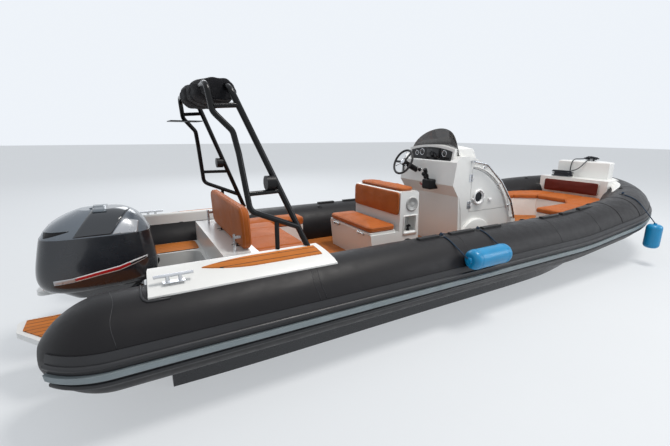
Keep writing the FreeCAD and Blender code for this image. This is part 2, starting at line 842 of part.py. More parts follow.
half_console = size.console_width / 2
console_shell = new_body("console")
pad(console_shell, sketch(console_shell, "XZ_Plane", console_outline(0)),
    "Sizes.console_width", side="Symmetric")
pad(console_shell, sketch(console_shell, "XZ_Plane", hood_outline(0)),
    "Sizes.hood_width", side="Symmetric")
half_dash = size.hood_width / 2 - size.dash_margin
dash_top = size.hood_top - size.dash_margin
above_hood = arch_points(half_console + 5, size.hood_top - 1.5 * size.hood_drop, size.hood_top)
above_hood += [(half_console + 5, size.hood_top + 60), (-half_console - 5, size.hood_top + 60)]
pocket(console_shell, sketch(console_shell, "YZ_Plane", above_hood),
       "2 * (Sizes.console_front + 100)", side="Symmetric")
dash_arch = arch_points(half_dash, dash_top - size.hood_drop, dash_top)
dash_arch += [(half_dash, size.dash_bottom), (-half_dash, size.dash_bottom)]
dash_face = HOOD_AFT + 12 + size.dash_depth
pocket(console_shell, sketch(console_shell, "YZ_Plane", dash_arch, str(dash_face)), "200")
pocket(console_shell, sketch(console_shell, "XZ_Plane", console_outline(size.console_wall)),
       "Sizes.console_width - 2 * Sizes.console_wall", side="Symmetric")


def door_outline(inset):
    """The doorway's outline, moved in by a clearance on every side."""
    return [
        (size.door_aft + inset, size.door_bottom + inset),
        (size.door_aft + inset, size.door_top - 1.6 * inset),
        ((3979 - 0.75 * inset, 1152 - 0.75 * inset),
         (size.door_front - 1.2 * inset, size.door_bottom + inset)),
    ]


pocket(console_shell, sketch(console_shell, "XZ_Plane", door_outline(0),
                             "Sizes.console_width / 2 + 1"), "Sizes.console_wall + 2")
door = new_body("console_door")
pad(door, sketch(door, "XZ_Plane", door_outline(size.door_gap),
                 "Sizes.console_width / 2 - Sizes.console_wall"), "Sizes.console_wall")
porthole_centre = Vector(3640, -half_console, 1030)
pocket(door, sketch(door, "XZ_Plane", [
    (porthole_centre.x - size.porthole_radius, porthole_centre.z),
    ((porthole_centre.x, porthole_centre.z + size.porthole_radius),
     (porthole_centre.x + size.porthole_radius, porthole_centre.z)),
    ((porthole_centre.x, porthole_centre.z - size.porthole_radius),
     (porthole_centre.x - size.porthole_radius, porthole_centre.z)),
], "Sizes.console_width / 2 + 1"), "Sizes.console_wall + 2")
ring = Part.makeCylinder(size.porthole_radius + 22, 12, porthole_centre, -Y_AXIS)
ring = ring.cut(Part.makeCylinder(size.porthole_radius - 8, 14, porthole_centre + Y_AXIS, -Y_AXIS))
glass = Part.makeCylinder(size.porthole_radius - size.seat_gap, 8,
                          porthole_centre - Y_AXIS * size.seat_gap, Y_AXIS)
door_latch = Vector(3860, -half_console - size.seat_gap, 980)

# Door hinges: a pin and two knuckles on the console, one knuckle on the door
HINGE_AXIS = (3502, -half_console - 9)
HINGE_HEIGHTS = [940, 1270]
KNUCKLE_RADIUS = 8
PIN_RADIUS = 4
KNUCKLE_HALF = 14
HINGE_HALF = 45
LEAF_THICKNESS = 3


def upright_round(radius, low, high):
    """A cylinder on the hinge axis."""
    return Part.makeCylinder(radius, high - low, Vector(HINGE_AXIS[0], HINGE_AXIS[1], low), Z_AXIS)


leaf_y = (-half_console - size.seat_gap - LEAF_THICKNESS, -half_console - size.seat_gap)
fixed_hinges = []
door_hinges = []
for height in HINGE_HEIGHTS:
    pieces = [upright_round(PIN_RADIUS, height - HINGE_HALF, height + HINGE_HALF)]
    pieces.append(block((HINGE_AXIS[0] - 48, HINGE_AXIS[0] - KNUCKLE_RADIUS - 2), leaf_y,
                        (height - HINGE_HALF, height + HINGE_HALF)))
    for low, high in ((-HINGE_HALF, -KNUCKLE_HALF - 1), (KNUCKLE_HALF + 1, HINGE_HALF)):
        pieces.append(upright_round(KNUCKLE_RADIUS, height + low, height + high))
        pieces.append(block((HINGE_AXIS[0] - KNUCKLE_RADIUS - 4, HINGE_AXIS[0]), leaf_y,
                            (height + low, height + high)))
    fixed_hinges.append(fused(pieces))
    knuckle = fused([
        upright_round(KNUCKLE_RADIUS, height - KNUCKLE_HALF, height + KNUCKLE_HALF),
        block((HINGE_AXIS[0], HINGE_AXIS[0] + 44), leaf_y,
              (height - KNUCKLE_HALF, height + KNUCKLE_HALF)),
    ])
    bore = upright_round(PIN_RADIUS + size.running_gap, height - HINGE_HALF, height + HINGE_HALF)
    door_hinges.append(knuckle.cut(bore))
latch = block((door_latch.x - 30, door_latch.x + 30), (door_latch.y - 14, door_latch.y),
              (door_latch.z - 16, door_latch.z + 16))
latch = latch.makeFillet(6, [edge for edge in latch.Edges if edge.BoundBox.YMax < door_latch.y - 1])
ring = ring.cut(glass)
feature("door_fittings", Part.makeCompound([ring, latch] + door_hinges))
feature("porthole_glass", glass)

# Dark instrument panel under the hood
panel_inset = 1
half_panel = half_dash - panel_inset
panel_arch = arch_points(half_panel, dash_top - size.hood_drop - panel_inset, dash_top - panel_inset)
panel_arch += [(half_panel, size.dash_bottom + panel_inset), (-half_panel, size.dash_bottom + panel_inset)]
panel_thickness = 10
panel_face = section_profile(panel_arch, dash_face - size.seat_gap - panel_thickness)
feature("dash_panel", panel_face.extrude(Vector(panel_thickness, 0, 0)))


def console_envelope(gap):
    """The outer form of the console and its hood, grown by a gap."""
    half = half_console + gap
    box = side_profile(console_outline(-gap), -half).extrude(Vector(0, 2 * half, 0))
    reach = size.hood_width / 2 + gap
    hood = side_profile(hood_outline(gap), -reach).extrude(Vector(0, 2 * reach, 0))
    below = arch_points(half_console + 5, size.hood_top - 1.5 * size.hood_drop + gap,
                        size.hood_top + gap)
    below += [(half_console + 5, deck_top), (-half_console - 5, deck_top)]
    arch = section_profile(below, HOOD_AFT - 50).extrude(Vector(600, 0, 0))
    return fused([box, hood.common(arch)])


# Throttle box with its lever, and the steering column
console_block = console_envelope(size.seat_gap)
throttle_base = block((3105, 3260), (-195, -35), (1115, 1240))
throttle_base = throttle_base.makeFillet(25, throttle_base.Edges).cut(console_block)
throttle_base = max(throttle_base.Solids, key=lambda solid: solid.Volume)
LEVER_FOOT = Vector(3150, -115, 1215)
LEVER_AXIS = Vector(-0.5, 0, 1).normalize()
LEVER_PARTS = [
    # distance along the lever, length, radius
    (0, 150, 13),
    (60, 34, 21),
    (118, 52, 24),
]
lever = [
    Part.makeCylinder(radius, length, LEVER_FOOT + LEVER_AXIS * along, LEVER_AXIS)
    for along, length, radius in LEVER_PARTS
]
feature("throttle", fused([throttle_base] + lever))
tilt = math.radians(size.wheel_tilt)
column_axis = Vector(-math.cos(tilt), 0, math.sin(tilt))
hub_centre = Vector(size.wheel_x, size.wheel_y, size.wheel_z)
HUB_DEPTH = 30
HUB_BORE_DEPTH = 22
SHAFT_RADIUS = 12
column_start = hub_centre - column_axis * (HUB_DEPTH + size.moving_gap + 1)
column = Part.makeCylinder(size.column_radius, 300, column_start, -column_axis)
shaft = Part.makeCylinder(SHAFT_RADIUS, HUB_BORE_DEPTH, column_start, column_axis)
column = fused([column, shaft]).cut(console_block)
feature("steering_column", max(column.Solids, key=lambda solid: solid.Volume))
rim = Part.makeTorus(size.wheel_radius - size.wheel_rim_radius, size.wheel_rim_radius,
                     Vector(0, 0, 0), Z_AXIS)
hub = Part.makeCylinder(40, 40, Vector(0, 0, -HUB_DEPTH), Z_AXIS)
hub = hub.cut(Part.makeCylinder(SHAFT_RADIUS + size.running_gap, HUB_BORE_DEPTH,
                                Vector(0, 0, -HUB_DEPTH), Z_AXIS))
spokes = []
for spoke_angle in (90, 210, 330):
    spoke = block((30, size.wheel_radius - size.wheel_rim_radius), (-13, 13), (-12, -2))
    spokes.append(spoke.rotated(Vector(0, 0, 0), Z_AXIS, spoke_angle))
wheel_shape = fused([rim, hub] + spokes)
wheel_shape.Placement = Placement(hub_centre, Rotation(Z_AXIS, column_axis))
feature("steering_wheel", wheel_shape)


# Windscreen: a smoked shell that wraps round the front of the hood

def windscreen():
    """Part of a thin cone, trimmed to an arch seen from behind."""
    foot = Vector(2925, 0, size.console_top - 60)
    rise = 430
    outer = Part.makeCone(595, 485, rise, foot, Z_AXIS)
    inner = Part.makeCone(589, 479, rise, foot, Z_AXIS)
    side = size.hood_width / 2 + 40
    arch = section_profile([
        (-side, foot.z),
        (-side + 15, foot.z + 60),
        ((-side + 95, foot.z + 240), (-170, foot.z + 355)),
        ((0, foot.z + 385), (170, foot.z + 355)),
        ((side - 95, foot.z + 240), (side - 15, foot.z + 60)),
        (side, foot.z),
    ], foot.x + 200).extrude(Vector(500, 0, 0))
    shell = outer.cut(inner).common(arch)
    return shell.cut(console_block)


screen = windscreen()
feature("windscreen", max(screen.Solids, key=lambda solid: solid.Volume))

# Handrails along the console's curved front
RAIL_POINTS = [
    (3470, 1360),
    (3470, 1470),
    (3700, 1430),
    (4000, 1200),
    (4230, 930),
    (4330, 700),
    (4270, 640),
]
rail_y = half_console + 45
rail_run = rounded_path([(x, -rail_y, z) for x, z in RAIL_POINTS[1:6]], 120)
rail = pipe(rail_run, size.rail_radius)
rail_feet = []
for foot_x, foot_z in (RAIL_POINTS[1], RAIL_POINTS[5]):
    rail_feet.append(Part.makeCylinder(size.rail_radius, 45 - size.seat_gap,
                                       Vector(foot_x, -rail_y, foot_z), Y_AXIS))
rail_solid = fused([rail] + rail_feet)
feature("console_fittings", Part.makeCompound([rail_solid, mirrored(rail_solid)] + fixed_hinges))


# Bow: seat moulding in a U, its cushions, a backrest and the raised bow locker

def bow_plan(inner, cross, start):
    """Plan of a U that opens aft and reaches out under the tubes."""
    return [
        (start, -1000),
        (size.bow_block_start, -1000),
        (size.bow_block_start, 1000),
        (start, 1000),
        (start, inner),
        (cross - 330, inner),
        (cross, inner - 210),
        (cross, -inner + 210),
        (cross - 330, -inner),
        (start, -inner),
    ]


seat_block = plan_profile(bow_plan(size.bow_seat_inner, size.bow_cross_aft, size.bow_seat_aft),
                          deck_top).extrude(Vector(0, 0, size.bow_seat_rim - deck_top))
seat_block = seat_block.cut(tube_envelope)
feature("bow_seat", max(seat_block.Solids, key=lambda solid: solid.Volume))
cushion_base = size.bow_seat_rim + size.seat_gap
cushion_plan = bow_plan(size.bow_seat_inner - 12, size.bow_cross_aft - 12, size.bow_seat_aft - 12)
bow_cushion = plan_profile(cushion_plan, cushion_base).extrude(Vector(0, 0, size.cushion_thickness))
bow_cushion = bow_cushion.cut(tube_solid(8))
feature("bow_cushions", max(bow_cushion.Solids, key=lambda solid: solid.Volume))


def inside_crown(margin, half_width, start):
    """Plan of the bow inside the tube's centreline, held back by a margin."""
    slope = math.radians(size.sheer_angle)
    turn = math.radians(size.shoulder_angle)
    centre_x = (size.sheer_start + size.sheer_radius * math.sin(slope)
                + size.sheer_run * math.cos(slope))
    centre_y = size.shoulder_radius - size.tube_spread
    radius = size.shoulder_radius - margin
    nose = size.shoulder_radius - centre_y / math.cos(turn) - margin
    nose_x = centre_x + (radius - nose) * math.sin(turn)
    first = math.acos((centre_y + half_width) / radius)

    def on_shoulder(angle):
        return centre_x + radius * math.sin(angle), centre_y - radius * math.cos(angle)

    side = [on_shoulder(first), on_shoulder((first + turn) / 2), on_shoulder(turn),
            (nose_x + nose * math.sin((turn + math.pi / 2) / 2),
             -nose * math.cos((turn + math.pi / 2) / 2)),
            (nose_x + nose, 0)]
    other = [(x, -y) for x, y in side]
    return [
        (start, -half_width), side[0], (side[1], side[2]), (side[3], side[4]),
        (other[3], other[2]), (other[1], other[0]), (start, half_width),
    ]


step_half = size.bow_step_width / 2
bow_step = plan_profile(inside_crown(size.step_margin, step_half, size.bow_block_start),
                        size.bow_seat_rim)
bow_step = bow_step.extrude(Z_AXIS * (size.bow_step_top - size.bow_seat_rim))
box_aft = size.bow_block_start + size.bow_step_depth
half_box = size.bow_box_width / 2
bow_box = plan_profile(inside_crown(size.box_margin, half_box, box_aft), size.bow_seat_rim)
bow_box = bow_box.extrude(Z_AXIS * (size.bow_box_top - size.bow_seat_rim))
box_rims = [edge for edge in bow_box.Edges if edge.BoundBox.ZMin > size.bow_box_top - 1]
bow_box = bow_box.makeFillet(22, box_rims)
bow_under = block((size.bow_block_start, size.bow_box_front), (-step_half, step_half),
                  (size.hull_top, size.bow_seat_rim))
bow_locker = fused([bow_step, bow_box, bow_under]).cut([tube_envelope, hull_solid])
feature("bow_locker", max(bow_locker.Solids, key=lambda solid: solid.Volume))

# Flange that lies on the tube's crown round the bow
FLANGE_ANGLES = (91, 122)
FLANGE_AFT = 7000
flange_inner = size.tube_radius + size.seat_gap
flange_outer = flange_inner + size.flange_thickness
flange_middle = sum(FLANGE_ANGLES) / 2
flange_points = [
    ring_point(flange_inner, FLANGE_ANGLES[0]),
    ring_point(flange_outer, FLANGE_ANGLES[0] + 2),
    (ring_point(flange_outer, flange_middle), ring_point(flange_outer, FLANGE_ANGLES[1])),
    ring_point(flange_inner, FLANGE_ANGLES[1]),
    (ring_point(flange_inner, flange_middle), ring_point(flange_inner, FLANGE_ANGLES[0])),
]
flange_start = size.sheer_start - 100
flange = fused(swept_along_tube(section_profile(flange_points, flange_start), flange_start))
flange = fused([flange, mirrored(flange)])
flange = flange.common(block((FLANGE_AFT, 8000), (-1500, 1500), (0, 2000))).cut(bow_locker)
feature("bow_flange", max(flange.Solids, key=lambda solid: solid.Volume))
back = block((size.bow_block_start - 60 - size.seat_gap, size.bow_block_start - size.seat_gap),
             (-450, 450), (cushion_base + size.cushion_thickness + 12, 1010))
feature("bow_backrest", back.makeFillet(18, back.Edges))


# Cleats: a bar on two feet

def cleat(centre, along, length, height):
    """A horn cleat that lies along a direction."""
    bar = Part.makeCylinder(11, length, centre - along * (length / 2) + Z_AXIS * height, along)
    feet = [
        Part.makeCylinder(13, height, centre + along * (length * side), Z_AXIS)
        for side in (-0.16, 0.16)
    ]
    base = block((-length * 0.28, length * 0.28), (-20, 20), (0, 6))
    base.Placement = Placement(centre, Rotation(X_AXIS, along))
    return fused([bar, base] + feet)


CLEAT_X = 7130
STERN_CLEAT = Vector(67, size.tube_spread + 60, size.tube_rise + size.tube_radius + 34)
stern_cleat = cleat(STERN_CLEAT, X_AXIS, 240, 48).cut(saddle_solid)
stern_cleat = max(stern_cleat.Solids, key=lambda solid: solid.Volume)
bow_cleat = cleat(Vector(CLEAT_X, 0, size.bow_box_top + size.seat_gap), Y_AXIS, 240, 45)
feature("stern_cleats", both_sides(stern_cleat))
feature("bow_cleat", bow_cleat)

# Mooring rope: two runs from the bow cleat over the box's aft edge, and a loose coil on the step
step_top = size.bow_step_top + size.seat_gap
coil_centre = Vector(box_aft - size.coil_depth / 2 - 10, size.coil_width / 2 + 40, step_top)
cleat_bar = size.bow_box_top + 45
coil_top = step_top + size.coil_height


def rope_run(name, points):
    """A tube along straight runs joined by arcs that suit the shorter run, with the radii printed."""
    points = [Vector(*point) for point in points]
    edges = []
    last = points[0]
    for before, corner, after in zip(points, points[1:], points[2:]):
        inward = before - corner
        onward = after - corner
        shorter = min(inward.Length, onward.Length)
        half_turn = (math.pi - inward.getAngle(onward)) / 2
        radius = 0.45 * shorter / math.tan(half_turn)
        print("%s bend radius %.0f mm, %.1f diameters" % (name, radius, radius / size.rope_radius / 2))
        inward.normalize()
        onward.normalize()
        start = corner + inward * (0.45 * shorter)
        finish = corner + onward * (0.45 * shorter)
        bisector = (inward + onward).normalize()
        middle = corner + bisector * (radius / math.cos(half_turn) - radius)
        edges.append(Part.LineSegment(last, start).toShape())
        edges.append(arc(start, middle, finish))
        last = finish
    edges.append(Part.LineSegment(last, points[-1]).toShape())
    path = Part.Wire(edges)
    run = pipe(path, size.rope_radius)
    print("%s length %.0f mm, volume by section %.0f, of the tube %.0f"
          % (name, path.Length, path.Length * math.pi * size.rope_radius ** 2, run.Volume))
    return run


coil_outline = Part.Ellipse(Vector(0, 0, 0), size.coil_width / 2, size.coil_depth / 2).toShape()
coil_hole = Part.Ellipse(Vector(0, 0, 0), size.coil_width / 4, size.coil_depth / 4).toShape()
coil = Part.Face(Part.Wire(coil_outline)).extrude(Z_AXIS * size.coil_height)
coil = coil.makeFillet(30, [edge for edge in coil.Edges if edge.BoundBox.ZMin > size.coil_height - 1])
hole = Part.Face(Part.Wire(coil_hole)).extrude(Z_AXIS * (size.coil_height + 2))
coil = coil.cut(hole.translated(-Z_AXIS))
coil.Placement = Placement(coil_centre, Rotation(Z_AXIS, 90))
feature("rope_coil", coil)
PORT_RUN = [
    (CLEAT_X - 8, 60, cleat_bar + 1),
    (CLEAT_X - 126, 110, cleat_bar - 15),
    (box_aft + 14, 150, size.bow_box_top + 38),
    (box_aft - 36, 168, size.bow_box_top - 12),
    (box_aft - 32, 178, coil_top + 54),
    (box_aft - 40, 184, coil_top - 36),
]
STARBOARD_RUN = [
    (CLEAT_X - 8, -38, cleat_bar - 23),
    (CLEAT_X - 122, -60, cleat_bar - 17),
    (box_aft + 20, -68, size.bow_box_top + 36),
    (box_aft - 34, -46, size.bow_box_top - 14),
    (box_aft - 46, -4, coil_top + 60),
    (box_aft - 80, 34, coil_top + 10),
    (box_aft - 155, 66, coil_top - 14),
]
for rope_name, rope_points in (("rope_port", PORT_RUN), ("rope_starboard", STARBOARD_RUN)):
    rope = rope_run(rope_name, rope_points).cut([coil, bow_cleat])
    feature(rope_name, max(rope.Solids, key=lambda solid: solid.Volume))

# Roll bar: a front hoop and a rear hoop, tied by struts and links
# Each point is x, the inset from the tube's axis, and z.
FRONT_LEG = [(1105, 110, 870), (588, 328, 2120)]
REAR_BAR = [(1020, 137, 1062), (640, 120, 1225), (598, 190, 1640), (575, 237, 1800),
            (452, 283, 1935), (431, 335, 2130)]
STRUTS = [
    [(842, 124, 1128), (842, 124, 870)],
    [(462, 288, 1972), (650, 302, 1985)],
    [(622, 148, 1350), (905, 194, 1350)],
]


def bar(rows, radius, bend=0):
    """A round bar through points of the port side."""
    return pipe(rounded_path([(x, size.tube_spread - inset, z) for x, inset, z in rows], bend), radius)


def hoop(rows, radius, bend):
    """A bar up one side, across and down the other."""
    other = [(x, 2 * size.tube_spread - inset, z) for x, inset, z in reversed(rows)]
    return bar(rows + other, radius, bend)


front_hoop = hoop(FRONT_LEG, size.bar_radius, size.bar_bend)
rear_hoop = hoop(REAR_BAR, size.bar_radius - 2, 80)
struts = [bar(strut, size.bar_radius - 6) for strut in STRUTS]
roll_bar = front_hoop.fuse([rear_hoop] + struts + [mirrored(strut) for strut in struts])
roll_bar = roll_bar.cut([saddle_solid, mirrored(saddle_solid)])
feature("roll_bar", max(roll_bar.Solids, key=lambda solid: solid.Volume))

# Lamps on the front legs and the thin shelf between the rear bars
lamps = []
LAMPS = [(790, 195 - size.tube_spread, 1418), (778, size.tube_spread - 202, 1452)]
for x, y, z in LAMPS:
    lamps.append(Part.makeCylinder(55, 70, Vector(x, y, z), X_AXIS))
shelf = block((300, 600), (size.tube_spread - 560, size.tube_spread - 200), (1895, 1905))
shelf = shelf.cut(roll_bar)
shelf = max(shelf.Solids, key=lambda solid: solid.Volume)
feature("bar_fittings", Part.makeCompound(lamps + [shelf]).cut(roll_bar))

# Folded canopy in its cover, lying over the top of the roll bar
half_canopy = size.tube_spread - 400
canopy = side_profile([
    (395, 2085),
    (360, 2170),
    ((500, 2235), (690, 2150)),
    (720, 2040),
    (640, 2000),
], -half_canopy).extrude(Vector(0, 2 * half_canopy, 0))
canopy = canopy.cut(roll_bar)
feature("canopy_cover", max(canopy.Solids, key=lambda solid: solid.Volume))


# Hand grips along the tube's top, fenders and their lines
GRIPS = [
    # middle x, length
    (2305, 250),
    (2755, 330),
    (3200, 280),
    (4252, 325),
    (4665, 350),
    (5020, 300),
]


def tube_axis_height(x):
    """Height of the tube's axis at a station forward of the taper and aft of the shoulder."""
    run = max(0, x - size.sheer_start)
    slope = math.radians(size.sheer_angle)
    bend = size.sheer_radius * math.sin(slope)
    if run <= bend:
        return size.tube_rise + size.sheer_radius - math.sqrt(size.sheer_radius ** 2 - run ** 2)
    rise = size.sheer_radius * (1 - math.cos(slope))
    return size.tube_rise + rise + (run - bend) * math.tan(slope)


grips = []
for x, length in GRIPS:
    crown = tube_axis_height(x) + size.tube_radius
    grip = block((x - length / 2, x + length / 2), (-size.tube_spread - 25, -size.tube_spread + 25),
                 (crown - 40, crown + 18))
    grip = grip.cut(tube_envelope)
    grips.append(max(grip.Solids, key=lambda solid: solid.Volume))
feature("hand_grips", both_sides(Part.makeCompound(grips)))


def fender(length, radius):
    """A fender about the Z axis, with domed ends."""
    body = Part.makeCylinder(radius, length, Vector(0, 0, -length / 2), Z_AXIS)
    ends = [edge for edge in body.Edges if isinstance(edge.Curve, Part.Circle)]
    return body.makeFillet(radius * 0.55, ends)


def fender_place(angle, radius):
    """Centre height and spread of a fender that lies on the tube's skin."""
    reach = size.tube_radius + radius + size.seat_gap
    return to_section(reach * math.cos(math.radians(angle)), reach * math.sin(math.radians(angle)))


FENDER_X = 2735
FENDER_ANGLE = 24.5
NUB_LENGTH = 18
side_fender = fender(size.fender_length, size.fender_radius)
nubs = Part.makeCylinder(20, size.fender_length + 2 * NUB_LENGTH,
                         Vector(0, 0, -size.fender_length / 2 - NUB_LENGTH), Z_AXIS)
side_fender = fused([side_fender, nubs])
fender_y, fender_z = fender_place(FENDER_ANGLE, size.fender_radius)
side_fender.Placement = Placement(Vector(FENDER_X, fender_y, fender_z), Rotation(Z_AXIS, X_AXIS))


def ring_line(angle_top, angle_foot, foot, skin):
    """A taut line in a section plane, from the crown round a skin and off to a point."""
    reach = skin + size.seat_gap + size.line_radius
    middle = (angle_top + angle_foot) / 2
    start, between, leave = [
        Vector(0, reach * math.cos(math.radians(angle)), reach * math.sin(math.radians(angle)))
        for angle in (angle_top, middle, angle_foot)
    ]
    path = Part.Wire([arc(start, between, leave), Part.LineSegment(leave, foot).toShape()])
    return pipe(path, size.line_radius)


def leaving_angle(foot, skin):
    """Angle at which a taut line to a point leaves a skin."""
    reach = skin + size.seat_gap + size.line_radius
    distance = math.hypot(foot.y, foot.z)
    return math.degrees(math.atan2(foot.z, foot.y) + math.acos(reach / distance))


LINE_TOP_ANGLE = 84
lines = []
fender_reach = size.tube_radius + size.fender_radius + size.seat_gap
side_foot = Vector(0, fender_reach * math.cos(math.radians(FENDER_ANGLE)),
                   fender_reach * math.sin(math.radians(FENDER_ANGLE)))
for end in (-1, 1):
    line = ring_line(LINE_TOP_ANGLE, leaving_angle(side_foot, size.tube_radius), side_foot,
                     size.tube_radius)
    line = mirrored(line)
    station = FENDER_X + end * (size.fender_length / 2 + NUB_LENGTH - size.line_radius - 3)
    lines.append(line.translated(Vector(station, -size.tube_spread, size.tube_rise)))

# The upright fender hangs where the bow starts to turn in
BOW_FENDER_TURN = 9
BOW_FENDER_RADIUS = 92
BOW_FENDER_LENGTH = 330
turn_radians = math.radians(BOW_FENDER_TURN)
bow_station = (size.sheer_start + size.sheer_radius * math.sin(math.radians(size.sheer_angle))
               + size.sheer_run * math.cos(math.radians(size.sheer_angle))
               + size.shoulder_radius * math.sin(turn_radians))
bow_spread = size.tube_spread - size.shoulder_radius * (1 - math.cos(turn_radians))
bow_axis = Vector(bow_station, -bow_spread, tube_axis_height(bow_station))
bow_out = size.tube_radius + size.strip_depth + 6 + BOW_FENDER_RADIUS
bow_drop = BOW_FENDER_LENGTH / 2 + 40
bow_fender = fender(BOW_FENDER_LENGTH, BOW_FENDER_RADIUS)
bow_nub = Part.makeCylinder(20, NUB_LENGTH, Vector(0, 0, BOW_FENDER_LENGTH / 2), Z_AXIS)
bow_fender = fused([bow_fender, bow_nub]).translated(Vector(0, bow_out, -bow_drop))
bow_foot = Vector(0, bow_out, -bow_drop + BOW_FENDER_LENGTH / 2 + NUB_LENGTH / 2)
bow_skin = size.tube_radius / math.cos(math.radians(size.sheer_angle))
bow_line = ring_line(LINE_TOP_ANGLE, leaving_angle(bow_foot, bow_skin), bow_foot, bow_skin)
bow_place = Placement(bow_axis, Rotation(Z_AXIS, BOW_FENDER_TURN))
bow_fender = mirrored(bow_fender)
bow_line = mirrored(bow_line)
bow_fender.Placement = bow_place.multiply(bow_fender.Placement)
bow_line.Placement = bow_place.multiply(bow_line.Placement)
lines.append(bow_line)
fenders = Part.makeCompound([side_fender, bow_fender])
feature("fenders", fenders)
feature("fender_lines", Part.makeCompound(lines).cut(fenders))


# Shackle eyes: two at the transom and one on the stem
def shackle_eye(centre, root):
    """An upright plate with a hole across the boat, on a root that reaches a face."""
    half = size.eye_thickness / 2
    disc = Part.makeCylinder(size.eye_radius, size.eye_thickness,
                             Vector(centre.x, centre.y - half, centre.z), Y_AXIS)
    span = (min(centre.x, root), max(centre.x, root))
    stem = block(span, (centre.y - half, centre.y + half),
                 (centre.z - size.eye_radius, centre.z + size.eye_radius))
    hole = Part.makeCylinder(size.eye_hole_radius, 3 * size.eye_thickness,
                             Vector(centre.x, centre.y - 3 * half, centre.z), Y_AXIS)
    return fused([disc, stem]).cut(hole)


TOW_EYE = Vector(-42, 560, 120)
BOW_EYE = Vector(7238, 0, 290)
foot_plate = block((-8, -size.seat_gap), (TOW_EYE.y - 30, TOW_EYE.y + 30),
                   (TOW_EYE.z - 45, TOW_EYE.z + 45))
tow_eye = fused([shackle_eye(TOW_EYE, -size.seat_gap), foot_plate])
bow_eye = shackle_eye(BOW_EYE, BOW_EYE.x - 120).cut(hull_solid)
bow_eye = max(bow_eye.Solids, key=lambda solid: solid.Volume)
feature("shackle_eyes", Part.makeCompound([tow_eye, mirrored(tow_eye), bow_eye]))


# Outboard motor
arm_plate = side_profile([
    (-size.seat_gap, 330),
    (-size.seat_gap, -80),
    (-70, -80),
    (-110, 60),
    (-110, 300),
    ((-100, 335), (-60, 345)),
], -size.bracket_spread - 30).extrude(Vector(0, 30, 0))
bracket_outer = size.bracket_spread + 30
pivot_start = Vector(size.tilt_axis_x, -bracket_outer, size.tilt_axis_z)
pivot_tube = Part.makeCylinder(size.pivot_radius, 2 * bracket_outer, pivot_start, Y_AXIS)
pivot_hole = Part.makeCylinder(size.pivot_radius + size.running_gap, 2 * bracket_outer,
                               pivot_start, Y_AXIS)
arms = both_sides(arm_plate.cut(pivot_hole))
feature("clamp_bracket", arms)
swivel_side = side_profile([
    (-40, 325),
    (-40, 255),
    (-140, -60),
    (-150, -180),
    (-250, -180),
    (-250, 300),
    ((-245, 325), (-220, 330)),
], -size.bracket_spread + 8).extrude(Vector(0, 2 * size.bracket_spread - 16, 0))
steer_bore = Part.makeCylinder(size.steer_radius, 1200, Vector(size.steer_axis_x, 0, -400), Z_AXIS)
swivel = fused([swivel_side, pivot_tube]).cut(steer_bore)
feature("swivel_bracket", swivel)
PROP_SHAFT_RADIUS = 16
steer_shaft = Part.makeCylinder(size.steer_radius - size.running_gap, 700,
                                Vector(size.steer_axis_x, 0, -230), Z_AXIS)
cap_low = block((-340, -120), (-70, 70), (-300, -190))
cap_high = block((-340, -100), (-100, 100), (355, 470))
PAN_BOTTOM = 474


def leg_section(z, front, aft, half_width):
    """A boat-shaped section of the leg, blunt in front and fine at its trailing edge."""
    middle = (front + aft) / 2
    points = [
        (front, 0),
        ((middle + (front - middle) * 0.72, half_width * 0.75), (middle, half_width)),
        (aft, 8),
        (aft, -8),
        (middle, -half_width),
        ((middle + (front - middle) * 0.72, -half_width * 0.75), (front, 0)),
    ]
    return outline_wire(points, lambda x, y: Vector(x, y, z))


GEARCASE_AFT = -430
SHAFT_END = -590
leg = Part.makeLoft([
    leg_section(size.gearcase_height, -130, GEARCASE_AFT + 4, 40),
    leg_section(size.plate_height, -150, -450, 52),
    leg_section(-300, -292, -470, 60),
], True, True)
upper_leg = Part.makeLoft([
    leg_section(-300, -292, -470, 60),
    leg_section(300, -292, -520, 95),
    leg_section(560, -292, -560, 120),
], True, True)
gearcase = Part.makeCylinder(size.gearcase_radius, 330,
                             Vector(GEARCASE_AFT, 0, size.gearcase_height), X_AXIS)
propeller_shaft = Part.makeCylinder(PROP_SHAFT_RADIUS, GEARCASE_AFT - SHAFT_END + 10,
                                    Vector(SHAFT_END, 0, size.gearcase_height), X_AXIS)
nose = Part.makeSphere(size.gearcase_radius, Vector(-100, 0, size.gearcase_height))
plate = plan_profile(rounded_rectangle((-640, -150), (-115, 115), 60), size.plate_height)
plate = plate.extrude(Vector(0, 0, 14))
skeg = side_profile([
    (-150, size.gearcase_height),
    (-300, -790),
    (-370, -800),
    (-420, size.gearcase_height),
], -8).extrude(Vector(0, 16, 0))
pan = Part.makeLoft([
    outline_wire(rounded_rectangle(x, y, corner), lambda a, b, height=z: Vector(a, b, height))
    for z, x, y, corner in ((PAN_BOTTOM, (-610, -150), (-130, 130), 90),
                            (size.cowl_bottom, (-715, -55), (-190, 190), 120))
], True, True)
lower_unit = fused([leg, upper_leg, gearcase, nose, plate, skeg, steer_shaft, propeller_shaft,
                    cap_low, cap_high, pan])
feature("leg", lower_unit)


def cowl_section(z, front, aft, half_width, squareness):
    """A closed smooth section of the cowl: an ellipse with its corners pushed out."""
    centre = (front + aft) / 2
    half_length = (front - aft) / 2
    points = []
    for step in range(24):
        angle = 2 * math.pi * step / 24
        reach = abs(math.cos(angle)) ** squareness + abs(math.sin(angle)) ** squareness
        reach = reach ** (-1 / squareness)
        points.append(Vector(centre + half_length * reach * math.cos(angle),
                             half_width * reach * math.sin(angle), z))
    curve = Part.BSplineCurve()
    curve.interpolate(Points=points, PeriodicFlag=True)
    return Part.Wire(curve.toShape())


